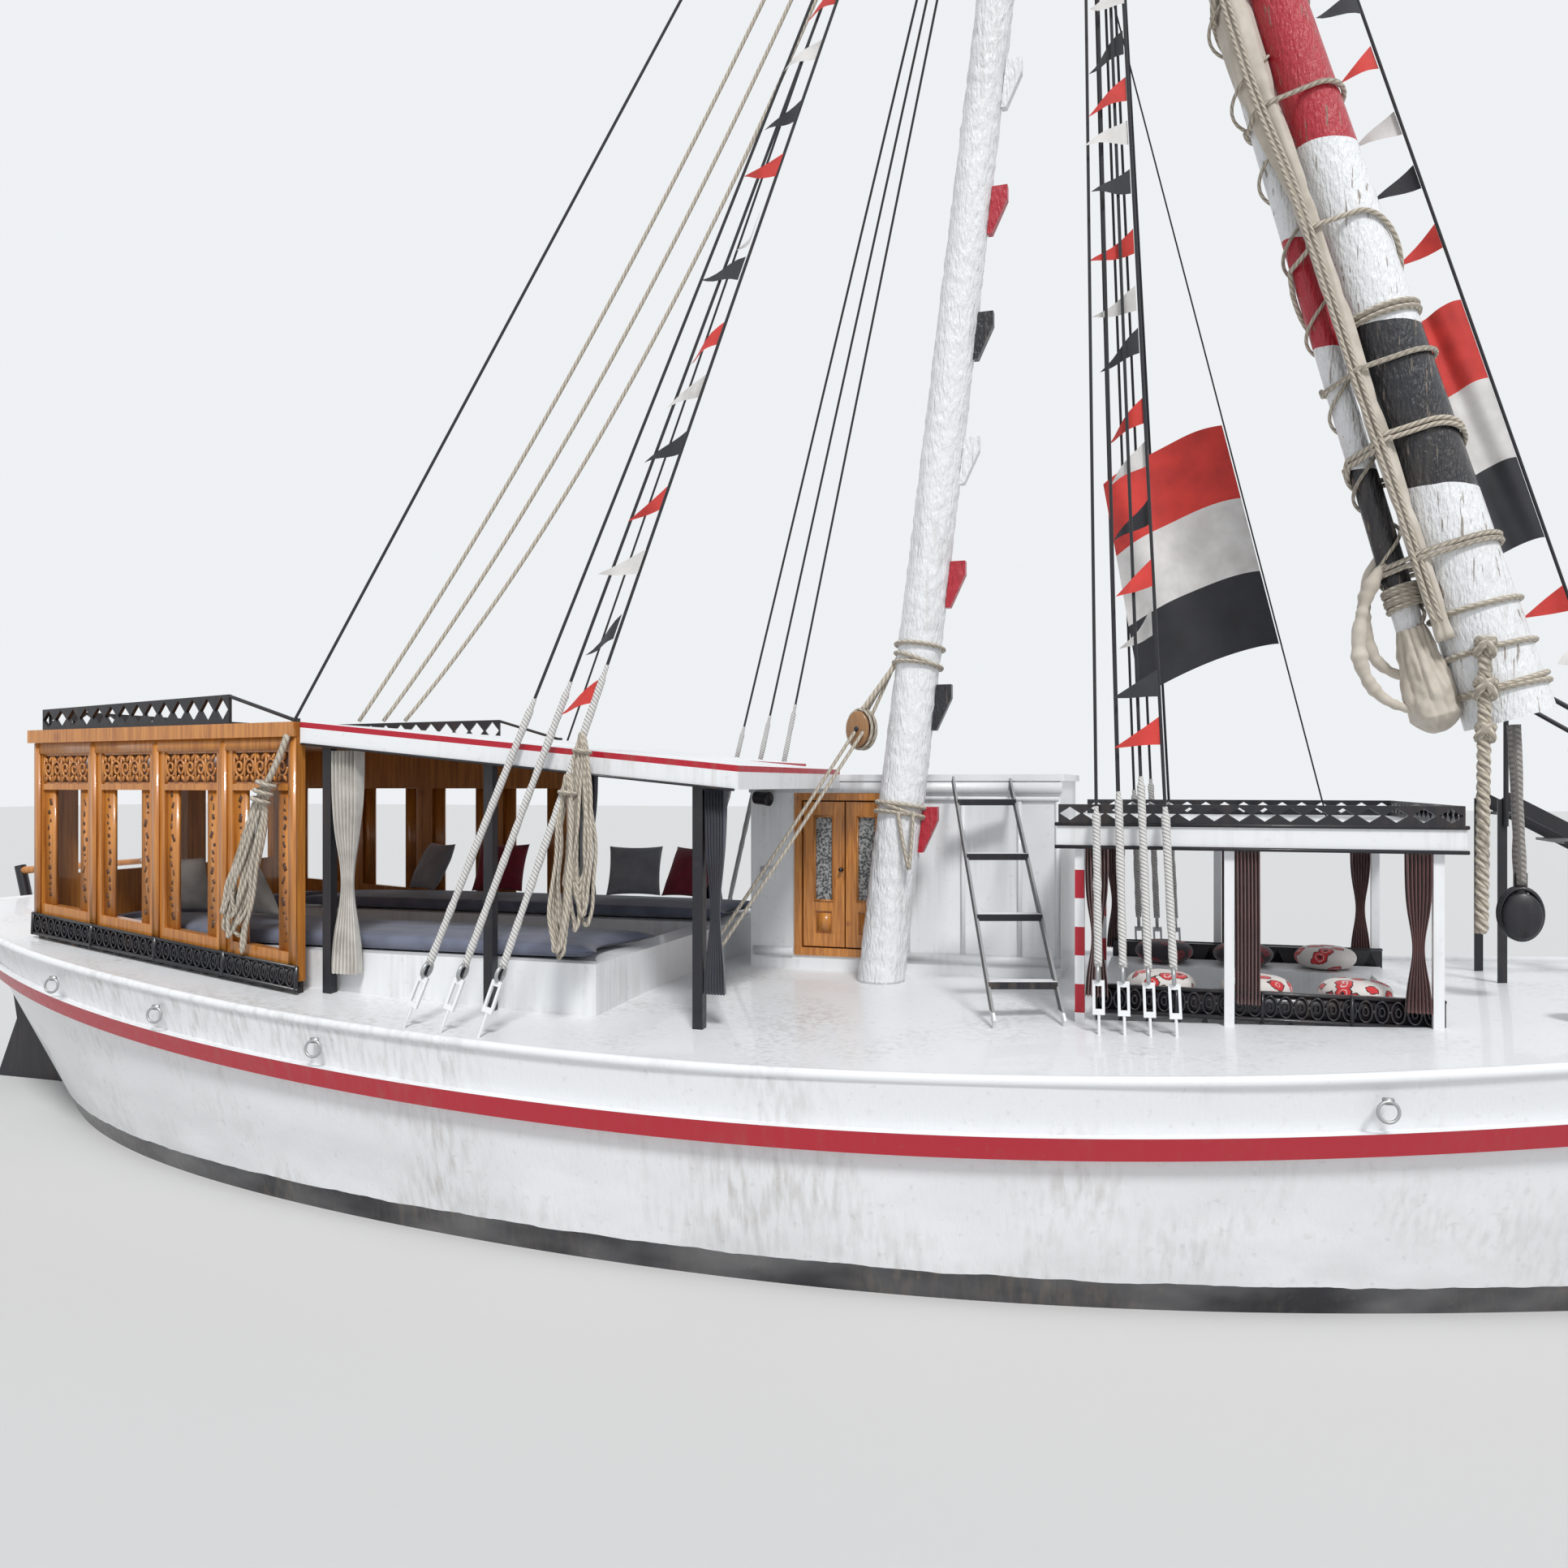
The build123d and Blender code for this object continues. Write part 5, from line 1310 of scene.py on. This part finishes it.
class FELUCCA_OT_carving(bpy.types.Operator):
    """Carved headers and boards on the cabin's sides, and iron scrolls on its skirt and the coaming"""
    bl_idname = "felucca.carving"
    bl_label = "Cabin carving"

    def execute(self, context):
        bays, beam_top = 4, 2.79
        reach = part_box("fwd_coaming")[1][1]
        for side, name in ((-1, "starboard"), (1, "port")):
            build, cut_shadows = Builder(), Builder()
            start = Vector((CABIN_FORE[0], side * CABIN_FORE[1], 0))
            end = Vector((CABIN_AFT[0], side * CABIN_AFT[1], 0))
            along = (end - start).normalized()
            out = Vector((-along.y, along.x, 0)) * -side
            wall, axes = (start, along, out), (along, out, UP)
            long = (end - start).length
            bay = long / bays
            pick = random.Random(name)
            for index in range(bays):
                u0, u1 = index * bay + 0.075, (index + 1) * bay - 0.075
                self.header(build, cut_shadows, wall, u0 + 0.012, u1 - 0.012, 2.605, pick)
                for u in (u0 + 0.055, u1 - 0.055):
                    self.board(build, cut_shadows, wall, u, pick)
            for index in range(bays + 1):
                u = min(max(index * bay, 0.030), long - 0.030)
                low = bottom(u) - 0.02
                size = (0.060, 0.022, beam_top - low)
                build.slab(spot(wall, u, (low + beam_top) / 2, 0.009), size, 0.005, axes)
            build.slab(spot(wall, long / 2, 2.755, 0.008), (long - 0.01, 0.018, 0.085), 0.004, axes)
            build.piece(f"cabin_carving_{name}", "wood", slot="varnished_wood")
            skirt = openwork((start - along * 0.035, along, out), long + 0.035, bottom)
            skirt.piece(f"cabin_skirt_scrolls_{name}", "iron", slot="black_iron")
            coaming = openwork((Vector((1.752, side * reach, 0)), FORE, PORT * side), 1.726, coaming_foot)
            coaming.piece(f"fwd_coaming_scrolls_{name}", "iron", slot="black_iron")
            # Dark slabs that stand for the shade in the deep slots of the carving: painted shade
            cut_shadows.piece(f"cabin_carving_cuts_{name}", "carved", slot="varnished_wood")
        return {"FINISHED"}

    def header(self, build, cut_shadows, wall, u0, u1, v, pick):
        """Scrolls and leaves in front of a dark plate: painted shade for the deep carving between them"""
        scrolls, depth = 5, -0.005
        # Dark plate behind the scrolls: painted shade of the deep carving
        cut_shadows.slab(spot(wall, (u0 + u1) / 2, v, -0.011), (u1 - u0, 0.004, 0.185), 0.001, (*wall[1:], UP))
        wide = (u1 - u0) / scrolls
        for index in range(scrolls):
            centre = u0 + wide * (index + 0.5)
            sign = 1 if index % 2 else -1
            points = []
            for step in range(30):
                angle = 0.5 * math.pi * step / 5
                reach = sign * 0.046 * (1 - step / 36)
                across, rise = reach * math.cos(angle), 1.3 * reach * math.sin(angle)
                points.append(spot(wall, centre + across, v + rise, depth))
            build.tube(points, 0.0085, 6)
            for leaf in (-1, 1):
                for lean in (-1, 1):
                    base = spot(wall, centre + lean * 0.012, v + leaf * 0.045, depth)
                    tip = spot(wall, centre + lean * pick.uniform(0.028, 0.045), v + leaf * 0.088, depth)
                    build.tube([base, base.lerp(tip, 0.5), tip], [0.006, 0.013, 0.004], 6)
            edge = spot(wall, centre + wide / 2, v, depth)
            build.tube([edge - UP * 0.09, edge, edge + UP * 0.09], [0.006, 0.010, 0.006], 6)

    def board(self, build, cut_shadows, wall, u, pick):
        """Carved board beside a window: a plain face with a run of short dark marks, which are painted shade
        for deep slots in the carving
        """
        along, out = wall[1:]
        low, high = bottom(u) + 0.165, 2.465
        size = (0.112, 0.026, high - low)
        build.slab(spot(wall, u, (low + high) / 2, -0.030), size, 0.003, (along, out, UP))
        v = low + 0.06
        while v < high - 0.05:
            tall = pick.uniform(0.012, 0.055)
            aside = pick.uniform(-0.016, 0.016)
            lean = pick.uniform(-0.5, 0.5)
            turned = (round_way(along, UP, lean), out, round_way(UP, -along, lean))
            # Each dark mark is painted shade for a deep slot
            cut_shadows.slab(spot(wall, u + aside, v + tall / 2, -0.0165), (pick.uniform(0.010, 0.030), 0.004, tall),
                      0.003, turned)
            v += tall + pick.uniform(0.014, 0.040)


class FELUCCA_OT_fittings(bpy.types.Operator):
    """Spotlight, switch box, door trim, deck cap, mooring rings and the bollard's rope"""
    bl_idname = "felucca.fittings"
    bl_label = "Small fittings"

    def execute(self, context):
        self.spotlight()
        self.house_trim()
        self.door_trim()
        self.deck_rings()
        self.bollard_rope()
        self.canopy_trim()
        self.deck_cap()
        return {"FINISHED"}

    def deck_cap(self):
        """Rounded cap along the edge of the deck"""
        build = Builder()
        count, radius = 200, 0.028
        start, end = DECK_STATIONS[0][0], DECK_STATIONS[-1][0]
        for side in (-1, 1):
            points = [deck_edge(start + (end - start) * index / count, side) for index in range(count + 1)]
            build.tube(points, radius, 10)
        build.tube([deck_edge(start, -1), deck_edge(start, 1)], radius, 10)
        build.piece("deck_edge_cap", "white", slot="hull_paint")

    def spotlight(self):
        build = Builder()
        origin = Vector((-0.62, 0.35, 2.40))
        build.slab(origin + Vector((0, -0.01, 0)), (0.06, 0.02, 0.06))
        build.tube([origin, origin + Vector((0.0, -0.05, 0.0))], 0.012, 12)
        build.lathe(origin + Vector((-0.05, -0.085, 0.005)), (1, -0.25, -0.1), [
            (0.0, 0.02), (0.0, 0.040), (0.012, 0.046), (0.10, 0.046), (0.105, 0.050), (0.125, 0.050),
            (0.125, 0.042), (0.110, 0.040), (0.110, 0.005)], 30)
        build.piece("spotlight", "iron", slot="black_iron")
        box = Builder()
        box.slab((-0.60, 0.345, 1.86), (0.11, 0.02, 0.10))
        box.slab((-0.60, 0.332, 1.87), (0.05, 0.012, 0.06), 0.003)
        box.piece("switch_box", "white", slot="hull_paint")

    def house_trim(self):
        """Battens on the deckhouse's starboard face"""
        build = Builder()
        for centre, size, bevel in (
                ((0.36, 0.338, 2.475), (2.20, 0.022, 0.075), 0.004),
                ((0.90, HOUSE_FACE, 2.400), (1.08, 0.016, 0.03), 0.003),
                ((0.93, HOUSE_FACE, 1.31), (1.04, 0.016, 0.06), 0.004),
                ((-0.56, HOUSE_FACE, 1.31), (0.30, 0.016, 0.06), 0.004)):
            build.slab(centre, size, bevel)
        for x in (0.42, 0.80, 1.18, 1.43):
            build.slab((x, HOUSE_FACE + 0.003, 1.84), (0.03, 0.012, 1.10), 0.003)
        build.piece("deckhouse_trim", "white", slot="hull_paint")

    def door_trim(self):
        """Beading round each pane, the raised panel under it, and the knob"""
        bead = 0.012
        z0, z1 = SILL + 0.33, LINTEL - 0.11
        for name, u0, u1 in (("aft", -0.245, -0.125), ("fwd", 0.065, 0.185)):
            build = Builder()
            for (x_low, z_low), (x_high, z_high) in (
                    ((u0 - bead, z0 - bead), (u1 + bead, z0)), ((u0 - bead, z1), (u1 + bead, z1 + bead)),
                    ((u0 - bead, z0), (u0, z1)), ((u1, z0), (u1 + bead, z1))):
                centre = ((x_low + x_high) / 2, HOUSE_FACE + 0.007, (z_low + z_high) / 2)
                build.slab(centre, (x_high - x_low, 0.008, z_high - z_low), 0.003)
            panel = ((u0 + u1) / 2, HOUSE_FACE + 0.016, SILL + 0.170)
            build.slab(panel, (u1 - u0 - 0.02, 0.014, 0.13), 0.006)
            build.piece(f"door_beading_{name}", "door", f"door_{name}", slot="varnished_wood")
        knob = Builder()
        profile = [(0, 0.014), (0.010, 0.016), (0.022, 0.008), (0.034, 0.015), (0.042, 0.012)]
        knob.lathe((-0.055, HOUSE_FACE + 0.009, 1.90), (0, -1, 0), profile, 20)
        knob.piece("door_knob", "iron", "door_aft", slot="black_iron")

    def deck_rings(self):
        build = Builder()
        for x in (-5.6, -4.7, -3.6, -2.4, 3.0, 4.3, 5.3):
            for side in (-1, 1):
                edge = deck_edge(x, side) + Vector((0, side * 0.022, -0.10))
                build.ring(edge + Vector((0, side * 0.012, -0.045)), (0.2, side, 0.1), 0.045, 0.008, 28)
                build.slab(edge, (0.05, 0.022, 0.03))
        build.piece("mooring_rings", "steel", slot="galvanised")

    def bollard_rope(self):
        build = Builder()
        count, turns = 140, 4
        points = []
        for index in range(count):
            share = index / (count - 1)
            around = round_way(FORE, PORT, TURN * turns * share) * 0.062
            points.append(Vector((*BOLLARD, 1.335 + 0.075 * share)) + around)
        build.tube(points, 0.013, 10)
        build.piece("bollard_turns", "orange_rope", slot="sail_canvas")

    def canopy_trim(self):
        """Thin dark lines along the edges of the aft roof and the canopy"""
        build = Builder()
        start, end = Vector((-2.90, -1.746, 2.745)), Vector((-0.08, -1.746, 2.468))
        way = (end - start).normalized()
        size = ((end - start).length, 0.012, 0.014)
        build.slab((start + end) / 2, size, 0.003, (way, PORT, way.cross(PORT)))
        for side in (-1, 1):
            for z in (2.282, 2.158):
                build.slab((CANOPY_MIDDLE, side * CANOPY_SIDE, z), (CANOPY_LONG, 0.014, 0.02), 0.003)
        build.piece("roof_edge_lines", "iron", slot="black_iron")


class FELUCCA_OT_stage(bpy.types.Operator):
    """Camera, lights, the plain floor at the waterline and the backdrop"""
    bl_idname = "felucca.stage"
    bl_label = "Stage"

    def execute(self, context):
        scene = context.scene
        settings = scene.felucca_stage
        camera = bpy.data.cameras.new("Camera")
        camera.lens = settings.lens
        camera.sensor_width = 36
        camera.clip_end = 400
        holder = bpy.data.objects.new("Camera", camera)
        holder.location = settings.eye
        holder.rotation_euler = (math.radians(90), 0, settings.turn)
        scene.collection.objects.link(holder)
        scene.camera = holder
        self.floor(scene)
        self.key_light(scene)
        self.backdrop(scene)
        scene.view_settings.view_transform = "Standard"
        return {"FINISHED"}

    def floor(self, scene):
        mesh = bpy.data.meshes.new("floor")
        far = 120
        corners = [(-far, -far, WATER), (far, -far, WATER), (far, far, WATER), (-far, far, WATER)]
        mesh.from_pydata(corners, [], [(0, 1, 2, 3)])
        floor = bpy.data.objects.new("floor", mesh)
        scene.collection.objects.link(floor)
        tree, shader = start_material("floor", "Pale Floor", 0.8)
        feed(tree, shader["Base Color"], (0.62, 0.62, 0.61))
        mesh.materials.append(MATERIALS["floor"])

    def key_light(self, scene):
        sun = bpy.data.lights.new("Key", "SUN")
        sun.energy = scene.felucca_stage.lamp
        sun.angle = math.radians(12)
        holder = bpy.data.objects.new("Key", sun)
        holder.rotation_euler = (math.radians(42), 0, math.radians(28))
        scene.collection.objects.link(holder)

    def backdrop(self, scene):
        """Fill light from all round, and a pale grey where the camera, a mirror or glass sees it"""
        world = bpy.data.worlds.new("Studio")
        world.use_nodes = True
        scene.world = world
        tree = world.node_tree
        fill = tree.nodes["Background"]
        feed(tree, fill.inputs["Color"], (0.92, 0.95, 1.0))
        feed(tree, fill.inputs["Strength"], scene.felucca_stage.sky)
        seen = add(tree, "ShaderNodeBackground", Color=(0.86, 0.88, 0.90), Strength=1.0)
        rays = add(tree, "ShaderNodeLightPath").outputs
        bent = math_node(tree, "MAXIMUM", rays["Is Glossy Ray"], rays["Is Transmission Ray"])
        mix = add(tree, "ShaderNodeMixShader")
        sockets = (math_node(tree, "MAXIMUM", rays["Is Camera Ray"], bent), fill.outputs[0], seen.outputs[0])
        for socket, value in zip(mix.inputs, sockets):
            feed(tree, socket, value)
        feed(tree, tree.nodes["World Output"].inputs["Surface"], mix.outputs[0])


OPERATORS = (
    FELUCCA_OT_finishes, FELUCCA_OT_mast, FELUCCA_OT_sail, FELUCCA_OT_stays, FELUCCA_OT_flags,
    FELUCCA_OT_curtains, FELUCCA_OT_seats, FELUCCA_OT_carving, FELUCCA_OT_fittings, FELUCCA_OT_stage,
)


class FELUCCA_PT_panel(bpy.types.Panel):
    """Lists the boat's pieces in the sidebar"""
    bl_idname = "FELUCCA_PT_panel"
    bl_label = "Felucca"
    bl_space_type = "VIEW_3D"
    bl_region_type = "UI"
    bl_category = "Felucca"

    def draw(self, context):
        for operator in OPERATORS:
            self.layout.operator(operator.bl_idname)


CLASSES = (FeluccaPaint, FeluccaCloth, FeluccaStage, *OPERATORS, FELUCCA_PT_panel)


def register():
    for entry in CLASSES:
        bpy.utils.register_class(entry)
    bpy.types.Scene.felucca_paint = bpy.props.PointerProperty(type=FeluccaPaint)
    bpy.types.Scene.felucca_cloth = bpy.props.PointerProperty(type=FeluccaCloth)
    bpy.types.Scene.felucca_stage = bpy.props.PointerProperty(type=FeluccaStage)


def unregister():
    for name in ("felucca_stage", "felucca_cloth", "felucca_paint"):
        delattr(bpy.types.Scene, name)
    for entry in reversed(CLASSES):
        bpy.utils.unregister_class(entry)


def main():
    register()
    for operator in OPERATORS:
        group, name = operator.bl_idname.split(".")
        getattr(getattr(bpy.ops, group), name)()


if __name__ == "__main__":
    main()
